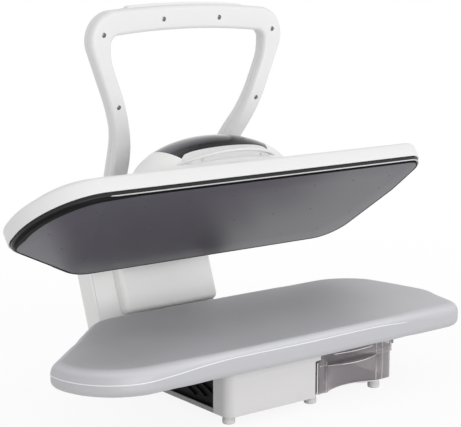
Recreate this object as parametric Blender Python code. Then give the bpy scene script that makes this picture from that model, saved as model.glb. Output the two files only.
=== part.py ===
"""Steam ironing press: a padded board on a low base, and a heated head on a lifting arm.

The design frame has X to the right, Y to the back and Z up. Its zero is the middle of the soleplate's
front edge, in the plane where the closed soleplate meets the padded board. Pieces of the head are
drawn closed, in that frame, and hang on an empty on the hinge axis that turns them open. At the end
the whole press is moved so that the middle of its footprint is at the world's origin.
"""

import math

import bmesh
import bpy
import numpy as np
from mathutils import Matrix, Vector

# Clearances
touch_gap = 0.0003
slide_gap = 0.0006
running_gap = 0.0004
overrun = 0.004
tiny = 1e-9

# Soleplate
plate_length = 0.640
plate_width = 0.233
plate_thickness = 0.010
plate_chamfer = 0.0015
plate_outline_shares = (
    (0.0, 0.0, 0.373), (0.0, 0.491, 0.157), (0.236, 1.0, 0.305),
    (0.973, 1.0, 0.196), (1.0, 0.376, 0.260), (0.991, 0.0, 0.119),
)
steam_hole_radius = 0.001
steam_hole_inset = 0.036
steam_hole_spacing = 0.072

# Padded board
board_length = 0.6507
board_width = 0.2435
board_left_margin = 0.0044
board_front_margin = 0.0040
board_thickness = 0.0375
board_top_radius = 0.017
board_bottom_radius = 0.010
board_crown = 0.0018
board_crown_steps = ((0.6, 0.2), (0.9, 0.5), (1.0, 0.8))
board_outline_shares = (
    (0.0, 0.0, 0.372), (0.0, 0.423, 0.100), (0.232, 1.0, 0.292),
    (0.947, 1.0, 0.319), (1.0, 0.369, 0.250), (0.962, 0.0, 0.117),
)
pressing_gap = 0.0005
cover_cloth = 0.0010
cover_wrap = 0.016
fold_room = 0.0006
foam_thickness = 0.012
pan_sheet = 0.0020
pan_flare_share = 0.30
pan_boss_radius = 0.008
pan_boss_x = (-0.070, 0.150)
pan_boss_y = (0.070, 0.200)

# Hinge and opening
hinge_y = 0.3347
hinge_z = -0.0515
open_angle = math.radians(36.68)
column_lean = math.radians(16.7)
pin_radius = 0.004
bush_wall = 0.0014
bush_flange = 0.0010
eye_radius = 0.0082
eye_round_share = 0.98
bracket_sheet = 0.003
bracket_half_length = 0.0595
bracket_depth = 0.034
bracket_plate_top = -0.065
spring_wire = 0.0013
spring_coil_radius = 0.0062
spring_coils = 6
spring_pitch = 0.0040
spring_inner_end = 0.010

# Lifting arm of pressed steel
arm_half_width = 0.0535
arm_sheet = 0.003
arm_column_depth = 0.0255
arm_beam_bottom = 0.047
arm_beam_top = 0.068
arm_foot_front = 0.096
arm_foot_back = 0.146
arm_corner = 0.020
arm_inner_corner = 0.0022
arm_shin_up = 0.01804
cross_bar_out = 0.0
cross_bar_up = 0.1133
cross_bar_radius = 0.005
cross_bar_half_length = 0.0900

# Column covers
column_half_width = 0.105
column_front = 0.0115
column_depth = 0.0402
column_height = 0.138
column_wall = 0.0025
column_corner = 0.012
column_roof_radius = 0.022
column_front_edge_share = 0.35
box_left = -0.066
box_right = 0.100
box_bottom = 0.0165
box_top = 0.1022
box_proud = 0.018
box_corner = 0.010
box_wall = 0.0022
box_edge = 0.0080
box_edge_cut = 0.0025

# Spine cover between the column and the control housing
spine_half_width = 0.060
spine_top = 0.0745
spine_wall = 0.0025
spine_corner = 0.012

# Head shell and skirt
rim_grow = 0.008
rim_bottom = 0.008
rim_top = 0.031
rim_radius = 0.006
rim_draft = 0.0005
shell_wall = 0.0025
plateau_inset = 0.026
plateau_z = 0.044
skirt_grow = 0.0046
skirt_edge = 0.0015
skirt_bottom = 0.0025
skirt_top = 0.0185
skirt_lip = 0.007
lid_inset = 0.023
lid_draw_share = 0.06
lid_height = 0.0120
lid_wall = 0.0020
element_radius = 0.004
element_inset = 0.0165
element_terminal = 0.009
element_break = 4
thermostat_radius = 0.011
thermostat_height = 0.010
thermostat_step = 0.006
thermostat_top_radius = 0.0077
thermostat_x = -0.120

# Control housing on the head
hump_y = 0.085
hump_half_length = 0.135
hump_half_width = 0.062
hump_height = 0.071
hump_wall = 0.0025
window_half_length = 0.088
window_front = 0.0270
window_back = 0.1340
window_corner = 0.040
window_floor = 0.01988
visor_half_length = 0.089
visor_end_y = 0.041
visor_front_y = 0.010
visor_bottom = 0.0510
visor_rim_low = 0.0550
visor_rim_high = 0.0580
visor_top = 0.0735
visor_root = 0.006
visor_fade = 8
board_plate_half_length = 0.062
board_plate_front = 0.062
board_plate_back = 0.112
board_plate_z = 0.0890
board_plate_sheet = 0.0016
board_post_radius = 0.0035
board_post_y = 0.106
display_half_length = 0.026
display_depth = 0.016
display_height = 0.006
button_radius = 0.0070
button_lift = 0.0022
button_travel = 0.0015
button_y = 0.096
button_pitch = 0.031
button_flange = 0.0014
button_stem_radius = 0.0025
button_flange_gap = 0.0012

# Handle
handle_top_y = -0.0135
handle_top_z = 0.2783
handle_knee_y = 0.0790
handle_knee_z = 0.1636
handle_knee_radius = 0.140
handle_thickness = 0.024
handle_wall = 0.0025
handle_edge = 0.0042
handle_root_half = 0.0865
handle_waist_half = 0.1106
handle_waist_drop = 0.190
handle_corner_half = 0.181
handle_corner_drop = 0.008
handle_corner_radius = 0.0405
handle_inner_root_half = 0.0620
handle_inner_waist_half = 0.0790
handle_inner_waist_drop = 0.205
handle_inner_shoulder_half = 0.1308
handle_inner_shoulder_drop = 0.073
handle_inner_shoulder_radius = 0.060
handle_inner_corner_half = 0.1315
handle_inner_corner_drop = 0.0395
handle_inner_corner_radius = 0.013
handle_inner_top = 0.033
handle_waist_radius = 0.230
handle_bow_share = 0.25
handle_core_radius = 0.005
core_hole_start_share = 0.85
screw_radius = 0.0026
screw_recess_radius = 0.0034
screw_head_depth = 0.0020
screw_head_height = 0.0012
top_screw_half = 0.0475
top_screw_share = 0.56
corner_screw_inset = 0.0365
corner_screw_drop = 0.0295
leg_screw_drop = 0.1350
grip_half_length = 0.104
grip_thickness = 0.0028
grip_margin = 0.004
grip_edge = 0.00112

# Base
base_left = -0.0985
base_front = 0.030
base_back = 0.385
base_bottom = -0.1043
fascia_right = 0.052
fascia_wall = 0.0025
fascia_corner = 0.014
fascia_left_return = 0.0325
fascia_right_return = 0.0162
fascia_top = -0.0433
carrier_right = 0.205
carrier_hinge_room = 0.0467
carrier_back = hinge_y - carrier_hinge_room
carrier_back_room = 0.009
carrier_top_sheet = 0.0025
carrier_rim = 0.0152
carrier_corner = 0.014
carrier_tab = 0.0085
tray_sheet = 0.0020
tray_rim = 0.0060
tray_tongue_front = 0.048
tray_tongue_nose = 0.040
tongue_nose_width = 0.040
tongue_step_width = 0.060
chassis_recess = 0.0065
chassis_wall = 0.0030
chassis_front = 0.0465
bay_left = 0.0492
bay_back = 0.185
deck_z = -0.0683
side_rib_radii = (0.045, 0.070, 0.095)
side_rib_width = 0.0035
side_rib_height = 0.0035
side_rib_centre_y = 0.150
side_rib_first_angle = math.radians(155)
side_rib_sweep = math.radians(110)
side_rib_steps = 8
foot_radius = 0.00875
foot_height = 0.0125
foot_taper = 0.0012
foot_front_y = 0.048
foot_back_y = 0.352
foot_x = (-0.084, 0.057, 0.176)

# Water tank
tank_left = 0.055
tank_right = 0.193
tank_back = 0.165
tank_wall = 0.0020
tank_top = -0.0560
tank_corner = 0.006
tank_lid = 0.0024
tank_lid_top = -0.0533
scoop_left = 0.072
scoop_right = 0.163
scoop_depth = 0.012
scoop_top = -0.0642
lip_thickness = 0.0030
lip_reach = 0.011
filler_radius = 0.012
filler_x = 0.150
filler_y = 0.130
filler_cap_height = 0.0040
filler_cap_edge = 0.0028
valve_radius = 0.006
valve_length = 0.009
valve_collar = 0.0036
valve_neck_radius = 0.0042
valve_x = 0.080
valve_z = -0.090

# Inside the base
pump_radius = 0.019
pump_length = 0.070
pump_x = -0.045
pump_y = 0.095
pump_z = -0.078
pump_saddle = 0.030
pump_saddle_inset = 0.014
pump_spigot = 0.010
pump_edge = 0.0057
hose_radius = 0.0025
hose_start_out = 0.01275
hose_start_up = 0.00984
hose_rise_out = 0.011475
hose_rise_up = 0.0492
hose_turn_out = 0.008925
hose_turn_up = 0.082
coupling_size = 0.020
coupling_collar = 0.005
coupling_slope = 0.002
coupling_neck_radius = 0.006
power_board_x = (0.098, 0.182)
power_board_y = (0.205, 0.285)
power_board_z = -0.094
gland_radius = 0.008
gland_bore = 0.0038
gland_length = 0.014
gland_x = 0.140
gland_z = -0.086

# Counts of facets
arc_steps = 6
fine_arc_steps = 8
side_arc_steps = 5
corner_steps = 4
coarse_arc_steps = 3
round_steps = 16
small_round_steps = 14
hose_hole_steps = 12
screw_steps = 10
post_steps = 8
pump_round_steps = 18
route_steps = 4
spring_turn_steps = 8
scoop_steps = 10
visor_steps = 14
dome_around_steps = 32
dome_up_steps = 7
dome_flat_share = 0.35
bevel_from_degrees = 60


def finish(name, colour, roughness, metallic=0.0, alpha=1.0):
    """A plain material: colour, roughness and metallic value of one finish."""
    material = bpy.data.materials.get(name)
    if material is None:
        material = bpy.data.materials.new(name)
        material.use_nodes = True
        shader = material.node_tree.nodes["Principled BSDF"]
        shader.inputs["Base Color"].default_value = (*colour, 1.0)
        shader.inputs["Roughness"].default_value = roughness
        shader.inputs["Metallic"].default_value = metallic
        shader.inputs["Alpha"].default_value = alpha
    return material


def finishes():
    """Every finish of the press by name."""
    return {
        "white": finish("white_plastic", (0.86, 0.86, 0.85), 0.35),
        "black": finish("black_plastic", (0.02, 0.02, 0.022), 0.45),
        "smoke": finish("smoke_cover", (0.05, 0.05, 0.055), 0.12),
        "sole": finish("soleplate_coating", (0.14, 0.14, 0.16), 0.30, 0.6),
        "cloth": finish("silver_cloth", (0.50, 0.50, 0.52), 0.55, 0.2),
        "foam": finish("foam", (0.75, 0.73, 0.62), 0.95),
        "steel": finish("steel", (0.60, 0.60, 0.62), 0.35, 1.0),
        "cast": finish("cast_aluminium", (0.55, 0.55, 0.56), 0.50, 1.0),
        "clear": finish("clear_plastic", (0.75, 0.76, 0.78), 0.10, 0.0, 0.35),
        "rubber": finish("grey_rubber", (0.55, 0.55, 0.54), 0.80),
        "green": finish("circuit_board", (0.03, 0.22, 0.10), 0.50),
        "grey": finish("grey_plastic", (0.35, 0.35, 0.36), 0.45),
        "hose": finish("silicone_hose", (0.80, 0.78, 0.74), 0.60),
    }


def remove_everything():
    """Empties the scene and the data that a second run would otherwise add to."""
    for thing in list(bpy.data.objects):
        bpy.data.objects.remove(thing, do_unlink=True)
    for mesh in list(bpy.data.meshes):
        bpy.data.meshes.remove(mesh)


def frame_empty(name, parent, at, turn=0.0):
    """An empty on a joint's axis. Its design place is kept, so that pieces can be given design places."""
    empty = bpy.data.objects.new(name, None)
    bpy.context.collection.objects.link(empty)
    empty.rotation_euler = (turn, 0.0, 0.0)
    empty["place"] = at
    empty.parent = parent
    start = parent["place"] if parent else (0.0, 0.0, 0.0)
    empty.location = [a - b for a, b in zip(at, start)]
    return empty


def piece(name, mesh_maker, material, parent, origin=(0.0, 0.0, 0.0), smooth=30.0):
    """One sub-part: a mesh drawn in its parent's design frame, with its origin at a place of its own."""
    mesh = bpy.data.meshes.new(name)
    work = bmesh.new()
    mesh_maker(work)
    bmesh.ops.recalc_face_normals(work, faces=work.faces)
    bmesh.ops.translate(work, verts=work.verts, vec=[-value for value in origin])
    work.to_mesh(mesh)
    work.free()
    mesh.shade_smooth()
    mesh.set_sharp_from_angle(angle=math.radians(smooth))
    mesh.materials.append(material)
    thing = bpy.data.objects.new(name, mesh)
    bpy.context.collection.objects.link(thing)
    thing.parent = parent
    thing.location = [a - b for a, b in zip(origin, parent["place"])]
    return thing


def cutter(name, mesh_maker, parent):
    """A hidden solid that Boolean modifiers use."""
    thing = piece(name, mesh_maker, finish("cutter", (1.0, 0.2, 0.1), 1.0), parent)
    thing.hide_render = True
    thing.display_type = "WIRE"
    return thing


def boolean(thing, other, operation):
    """Adds one exact Boolean to a piece."""
    step = thing.modifiers.new(operation.lower() + "_" + other.name, "BOOLEAN")
    step.operation = operation
    step.solver = "EXACT"
    step.object = other


def cut(thing, other):
    """Takes the other solid away from a piece."""
    boolean(thing, other, "DIFFERENCE")


def join(thing, other):
    """Adds the other solid to a piece."""
    boolean(thing, other, "UNION")


def rounded(corners, radii, steps):
    """Points and outward directions along a polygon whose corners are arcs of the given radii."""
    points = []
    outward = []
    corners = [np.array(corner, float) for corner in corners]
    signed = 0.0
    for index, corner in enumerate(corners):
        before = corners[index - 1]
        signed += before[0] * corner[1] - before[1] * corner[0]
    for index, corner in enumerate(corners):
        to_last = corners[index - 1] - corner
        to_next = corners[(index + 1) % len(corners)] - corner
        to_last /= np.linalg.norm(to_last)
        to_next /= np.linalg.norm(to_next)
        turn = to_last[0] * to_next[1] - to_last[1] * to_next[0]
        side = 1.0 if turn * signed < 0 else -1.0
        half = math.acos(max(-1.0, min(1.0, float(to_last @ to_next)))) / 2
        radius = radii[index]
        middle = to_last + to_next
        middle /= np.linalg.norm(middle)
        if radius == 0.0:
            points.append(corner)
            outward.append(-middle * side / math.sin(half))
            continue
        centre = corner + middle * radius / math.sin(half)
        start = corner + to_last * radius / math.tan(half) - centre
        end = corner + to_next * radius / math.tan(half) - centre
        first = math.atan2(start[1], start[0])
        sweep = math.atan2(start[0] * end[1] - start[1] * end[0], float(start @ end))
        for step in range(steps + 1):
            angle = first + sweep * step / steps
            way = np.array((math.cos(angle), math.sin(angle)))
            points.append(centre + radius * way)
            outward.append(way * side)
    return np.array(points), np.array(outward)


def shared_outline(shares, length, width, left, front, steps=arc_steps):
    """An outline whose corners and radii are shares of its length and width."""
    corners = [(left + along * length, front + across * width) for along, across, _ in shares]
    return rounded(corners, [radius * width for _, _, radius in shares], steps)


def plate_outline(steps=arc_steps):
    """The soleplate's outline: blunt nose at the left, one slanted side at the back left."""
    return shared_outline(plate_outline_shares, plate_length, plate_width, -plate_length / 2, 0.0, steps)


def board_outline(steps=arc_steps):
    """The padded board's outline, a little larger than the soleplate's."""
    left = -plate_length / 2 - board_left_margin
    return shared_outline(board_outline_shares, board_length, board_width, left, -board_front_margin, steps)


def rectangle(left, front, right, back, radius, steps=corner_steps):
    """A rectangle with four equal round corners."""
    corners = ((left, front), (left, back), (right, back), (right, front))
    return rounded(corners, [radius] * 4, steps)


def ring(outline, grow, height, inward=0.0):
    """One ring of points: the outline moved outwards by grow, then drawn in towards its middle."""
    points, outward = outline
    moved = points + outward * grow
    middle = moved.mean(axis=0)
    moved = moved + (middle - moved) * inward
    return np.column_stack((moved, np.full(len(moved), height)))


def loft(work, rings, closed=False, capped=True):
    """Skins rings of equal counts. A closed loft joins its last ring to its first."""
    rows = [[work.verts.new(point) for point in points] for points in rings]
    count = len(rows[0])
    pairs = list(zip(rows[:-1], rows[1:]))
    if closed:
        pairs.append((rows[-1], rows[0]))
    for lower, upper in pairs:
        for index in range(count):
            after = (index + 1) % count
            work.faces.new((lower[index], lower[after], upper[after], upper[index]))
    if capped and not closed:
        work.faces.new(rows[0])
        work.faces.new(rows[-1])


def stack(outline, levels):
    """A mesh maker: rings of one outline at levels of (grow, height) or (grow, height, inward)."""
    def make(work):
        loft(work, [ring(outline, *level) for level in levels])
    return make


def prism(outline, low, high):
    """A mesh maker: an outline in plan between two heights."""
    return stack(outline, ((0.0, low), (0.0, high)))


def side_prism(corners, radii, left, right, steps=arc_steps):
    """A mesh maker: an outline in side view, of depth and height, carried from left to right."""
    points, _ = rounded(corners, radii, steps)
    def make(work):
        loft(work, [np.column_stack((np.full(len(points), x), points)) for x in (left, right)])
    return make


def block(low, high):
    """A mesh maker: a box between two corners."""
    return prism(rectangle(low[0], low[1], high[0], high[1], 0.0), low[2], high[2])


def turned(profile, centre, axis, steps=round_steps, closed=False):
    """A mesh maker: rings of (radius, height) about an axis from a centre. A closed profile leaves a bore."""
    way = Vector(axis).normalized()
    turn = Vector((0.0, 0.0, 1.0)).rotation_difference(way).to_matrix()
    def make(work):
        rings = []
        for radius, height in profile:
            points = []
            for index in range(steps):
                angle = 2 * math.pi * (index + 0.5) / steps
                flat = Vector((radius * math.cos(angle), radius * math.sin(angle), height))
                points.append(Vector(centre) + turn @ flat)
            rings.append(points)
        loft(work, rings, closed)
    return make


def rod(start, end, radius, steps=round_steps):
    """A mesh maker: a round bar between two points."""
    length = (Vector(end) - Vector(start)).length
    return turned(((radius, 0.0), (radius, length)), start, Vector(end) - Vector(start), steps)


def sleeve(start, end, outer, inner, steps=round_steps):
    """A mesh maker: a tube with a bore between two points."""
    length = (Vector(end) - Vector(start)).length
    profile = ((inner, 0.0), (outer, 0.0), (outer, length), (inner, length))
    return turned(profile, start, Vector(end) - Vector(start), steps, True)


def several(*makers):
    """A mesh maker: more than one closed solid in a cutter."""
    def make(work):
        for maker in makers:
            maker(work)
    return make


def tube(name, points, radius, material, parent, resolution=2):
    """A hose or wire: a curve through design points with a round section and filled ends."""
    curve = bpy.data.curves.new(name, "CURVE")
    curve.dimensions = "3D"
    curve.bevel_depth = radius
    curve.bevel_resolution = resolution
    curve.use_fill_caps = True
    spline = curve.splines.new("POLY")
    spline.points.add(len(points) - 1)
    for spot, point in zip(spline.points, points):
        spot.co = (*[a - b for a, b in zip(point, parent["place"])], 1.0)
    curve.materials.append(material)
    thing = bpy.data.objects.new(name, curve)
    bpy.context.collection.objects.link(thing)
    thing.parent = parent
    return thing


def smooth_route(knots, count):
    """Points of a smooth curve through the knots, an even number of steps between each pair."""
    knots = [Vector(knot) for knot in knots]
    padded = [knots[0] * 2 - knots[1], *knots, knots[-1] * 2 - knots[-2]]
    points = []
    for before, start, end, after in zip(padded, padded[1:], padded[2:], padded[3:]):
        for step in range(count):
            t = step / count
            points.append(0.5 * (2 * start + (end - before) * t
                                 + (2 * before - 5 * start + 4 * end - after) * t ** 2
                                 + (3 * start - before - 3 * end + after) * t ** 3))
    points.append(knots[-1])
    return points


def board_levels():
    """Height of the board's crown, shoulder and underside."""
    crown = -pressing_gap
    shoulder = crown - board_crown
    return crown, shoulder, -board_thickness


def rounded_side(grow, top, bottom, top_radius, bottom_radius, wrap, steps=3):
    """Levels of a padded side: up from the wrapped underside, round the edge, to the shoulder."""
    levels = [(grow - wrap, bottom)]
    for step in range(steps + 1):
        angle = math.pi / 2 * step / steps
        levels.append((grow - bottom_radius * (1 - math.sin(angle)),
                       bottom + bottom_radius * (1 - math.cos(angle))))
    for step in range(steps + 2):
        angle = math.pi / 2 * step / (steps + 1)
        levels.append((grow - top_radius * (1 - math.cos(angle)), top - top_radius * (1 - math.sin(angle))))
    return levels


def make_board(look, press):
    """Board pan, foam pad and silver cover."""
    outline = board_outline(corner_steps)
    crown, shoulder, bottom = board_levels()
    inner = cover_cloth + touch_gap
    outer_side = rounded_side(0.0, shoulder, bottom, board_top_radius, board_bottom_radius, cover_wrap)
    inner_side = rounded_side(-cover_cloth, shoulder - cover_cloth, bottom + cover_cloth,
                              board_top_radius - cover_cloth, board_bottom_radius - cover_cloth,
                              cover_wrap - cover_cloth)
    last = -board_top_radius
    over = [(last, shoulder + board_crown * rise, draw) for rise, draw in board_crown_steps]
    under = [(grow, height - cover_cloth, draw) for grow, height, draw in over]
    levels = under[::-1] + inner_side[::-1] + outer_side + over
    piece("board_cover", stack(outline, levels), look["cloth"], press)

    pad_top = shoulder - inner
    pad_bottom = pad_top - foam_thickness
    edge = board_top_radius - inner - fold_room
    centre = shoulder - board_top_radius
    first = math.asin((pad_bottom - centre) / edge)
    flank = []
    for step in range(4):
        angle = first + (math.pi / 2 - first) * step / 3
        flank.append((-board_top_radius + edge * math.cos(angle), centre + edge * math.sin(angle)))
    pad_over = [(last, height - inner - fold_room, draw) for _, height, draw in over]
    levels = [(last, pad_bottom)] + flank + pad_over
    piece("foam_pad", stack(outline, levels), look["foam"], press)

    pan_top = pad_bottom - touch_gap
    pan_bottom = bottom + inner
    foot = board_bottom_radius - inner
    flare = foot * pan_flare_share
    side = inner + fold_room
    pan = piece("board_pan", stack(outline, (
        (-side - pan_sheet - foot, pan_top - pan_sheet),
        (-side - pan_sheet, pan_top - pan_sheet - pan_sheet),
        (-side - pan_sheet, pan_bottom + foot),
        (-side - foot - pan_sheet, pan_bottom),
        (-side - foot, pan_bottom),
        (-side - flare, pan_bottom + flare),
        (-side, pan_bottom + foot),
        (-side, pan_top - pan_sheet),
        (-side - pan_sheet, pan_top),
    )), look["steel"], press)
    boss_low = carrier_top() + touch_gap
    bosses = []
    for x in pan_boss_x:
        for y in pan_boss_y:
            bosses.append(rod((x, y, boss_low), (x, y, pan_top - pan_sheet / 2), pan_boss_radius, screw_steps))
    join(pan, cutter("pan_bosses", several(*bosses), press))


def carrier_top():
    """The carrier's top face, just under the wrapped cloth."""
    return -board_thickness - touch_gap


def make_base(look, press):
    """Base tray, chassis, fascia, carrier, feet and what the base holds."""
    make_tray(look, press)
    make_chassis(look, press)
    make_fascia(look, press)
    make_carrier(look, press)
    foot_profile = (
        (foot_radius - foot_taper, -foot_height), (foot_radius, -foot_height + foot_taper),
        (foot_radius, -foot_taper), (foot_radius - foot_taper, 0.0),
    )
    number = 1
    for y in (foot_front_y, foot_back_y):
        for x in foot_x:
            place = (x, y, base_bottom - touch_gap)
            foot = turned(foot_profile, place, (0, 0, 1), small_round_steps)
            piece(f"foot_{number}", foot, look["rubber"], press, place)
            number += 1


def make_tray(look, press):
    """Bottom pan: a sheet with a turned-up rim, and a tongue that the tank slides on."""
    left = base_left
    front = base_front + fascia_wall + touch_gap
    inner = left + fascia_wall + touch_gap
    behind = base_front + fascia_left_return + touch_gap
    right = tank_right
    outline = rounded(
        ((left, behind), (left, base_back), (right, base_back), (right, tray_tongue_nose),
         (right - tongue_nose_width, tray_tongue_nose), (right - tongue_step_width, tray_tongue_front),
         (bay_left, tray_tongue_front), (bay_left, front), (inner, front), (inner, behind)),
        [0.0, foot_radius, foot_radius, foot_taper, 0.0, 0.0, 0.0, foot_taper,
         fascia_corner - fascia_wall, 0.0],
        coarse_arc_steps)
    tray = piece("base_tray", prism(outline, base_bottom, base_bottom + tray_rim), look["grey"], press)
    floor = base_bottom + tray_sheet
    roof = base_bottom + tray_rim + overrun
    cut(tray, cutter("tray_pocket", block(
        (left + tray_sheet, bay_back, floor), (right - tray_sheet, base_back - tray_sheet, roof)), press))
    cut(tray, cutter("tray_front_relief", block(
        (left + tray_sheet, base_front, floor), (right + overrun, bay_back + overrun, roof)), press))
    cut(tray, cutter("tray_corner_relief", block(
        (left - overrun, base_front, floor), (left + fascia_corner, behind, roof)), press))


def make_chassis(look, press):
    """Black moulding: walls under the carrier, a bay for the tank, a low deck for the hinge, side ribs."""
    left = base_left + chassis_recess
    back = base_back - tray_sheet - slide_gap
    right = tank_right - tray_sheet - slide_gap
    low = base_bottom + tray_sheet + touch_gap
    high = carrier_top() - carrier_top_sheet - touch_gap
    plan = rounded(
        ((left, chassis_front), (left, back), (right, back), (right, bay_back), (bay_left, bay_back),
         (bay_left, chassis_front)),
        [0.0, foot_radius, foot_radius, 0.0, 0.0, 0.0], coarse_arc_steps)
    body = piece("chassis", prism(plan, low, high), look["black"], press)
    wall = chassis_wall
    deck_bottom = deck_z - wall
    upper_back = carrier_back - carrier_back_room
    def room(rear):
        front = chassis_front + wall
        return rounded(
            ((left + wall, front), (left + wall, rear - wall), (right - wall, rear - wall),
             (right - wall, bay_back + wall), (bay_left - wall, bay_back + wall), (bay_left - wall, front)),
            [0.0] * 6, 1)
    cut(body, cutter("chassis_hollow", prism(room(back), low - overrun, deck_bottom), press))
    cut(body, cutter("chassis_upper", prism(room(upper_back), deck_bottom - overrun, high + overrun), press))
    cut(body, cutter("chassis_deck_cut", block(
        (left - overrun, upper_back, deck_z), (right + overrun, back + overrun, high + overrun)), press))
    cut(body, cutter("chassis_hose_hole", rod(
        (valve_x, bay_back - overrun, valve_z), (valve_x, bay_back + wall + overrun, valve_z),
        hose_radius + slide_gap, hose_hole_steps), press))
    cut(body, cutter("chassis_gland_hole", rod(
        (gland_x, back - wall - overrun, gland_z), (gland_x, back + overrun, gland_z),
        gland_radius + touch_gap, small_round_steps), press))
    riser = hose_riser_y()
    cut(body, cutter("chassis_deck_hole", rod(
        (0.0, riser, deck_bottom - overrun), (0.0, riser, deck_z + overrun),
        hose_radius + 2 * slide_gap, hose_hole_steps), press))
    for index, radius in enumerate(side_rib_radii):
        join(body, cutter(f"side_rib_{index + 1}", rib_arc(radius, left, low), press))


def hose_riser_y():
    """Where the pressure hose comes up through the deck, behind the hinge bracket."""
    return hinge_y + bracket_depth / 2 + gland_radius


def rib_arc(radius, left, low):
    """A mesh maker: one curved rib on the recessed side wall, part of a fan about a low centre."""
    root = -side_rib_height / 2
    section = ((side_rib_height, -1), (side_rib_height, 1), (root, 1), (root, -1))
    def make(work):
        rings = []
        for step in range(side_rib_steps + 1):
            angle = side_rib_first_angle - side_rib_sweep * step / side_rib_steps
            rings.append([])
            for out, across in section:
                reach = radius + across * side_rib_width / 2
                y = side_rib_centre_y + reach * math.cos(angle)
                z = low + chassis_wall + reach * math.sin(angle) * (deck_z - low) / side_rib_radii[-1]
                rings[-1].append((left - out, y, z))
        loft(work, rings)
    return make


def make_fascia(look, press):
    """White front moulding: front wall, round left corner and a return beside the tank bay."""
    outer, _ = rounded(
        ((base_left, base_front + fascia_left_return), (base_left, base_front), (fascia_right, base_front),
         (fascia_right, base_front + fascia_right_return)),
        [0.0, fascia_corner, fascia_wall, 0.0], arc_steps)
    wall = fascia_wall
    inner, _ = rounded(
        ((base_left + wall, base_front + fascia_left_return), (base_left + wall, base_front + wall),
         (fascia_right - wall, base_front + wall), (fascia_right - wall, base_front + fascia_right_return)),
        [0.0, fascia_corner - wall, touch_gap, 0.0], arc_steps)
    path = np.vstack((outer, inner[::-1]))
    piece("front_fascia", prism((path, path * 0.0), base_bottom, fascia_top), look["white"], press)


def make_carrier(look, press):
    """White top tray under the board: it overhangs the tank and shows a tab at each end of its front."""
    top = carrier_top()
    outline = rectangle(base_left, base_front, carrier_right, carrier_back, carrier_corner)
    carrier = piece("board_carrier", prism(outline, top - carrier_rim, top), look["white"], press)
    wall = fascia_wall
    low = top - carrier_rim - overrun
    roof = top - carrier_top_sheet
    seam = fascia_top + touch_gap
    pocket = rectangle(base_left + wall, base_front + wall, carrier_right - wall, carrier_back - wall,
                       carrier_corner - wall)
    cut(carrier, cutter("carrier_pocket", prism(pocket, low, roof), press))
    cut(carrier, cutter("carrier_seam", block(
        (base_left - overrun, base_front - overrun, low),
        (fascia_right + slide_gap, base_front + fascia_right_return + overrun, seam)), press))
    cut(carrier, cutter("carrier_left_seam", block(
        (base_left - overrun, base_front - overrun, low),
        (base_left + fascia_corner, base_front + fascia_left_return + touch_gap, seam)), press))
    cut(carrier, cutter("carrier_tank_mouth", block(
        (fascia_right + carrier_tab, base_front - overrun, low),
        (carrier_right - carrier_tab, base_front + wall + overrun, roof)), press))


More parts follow.
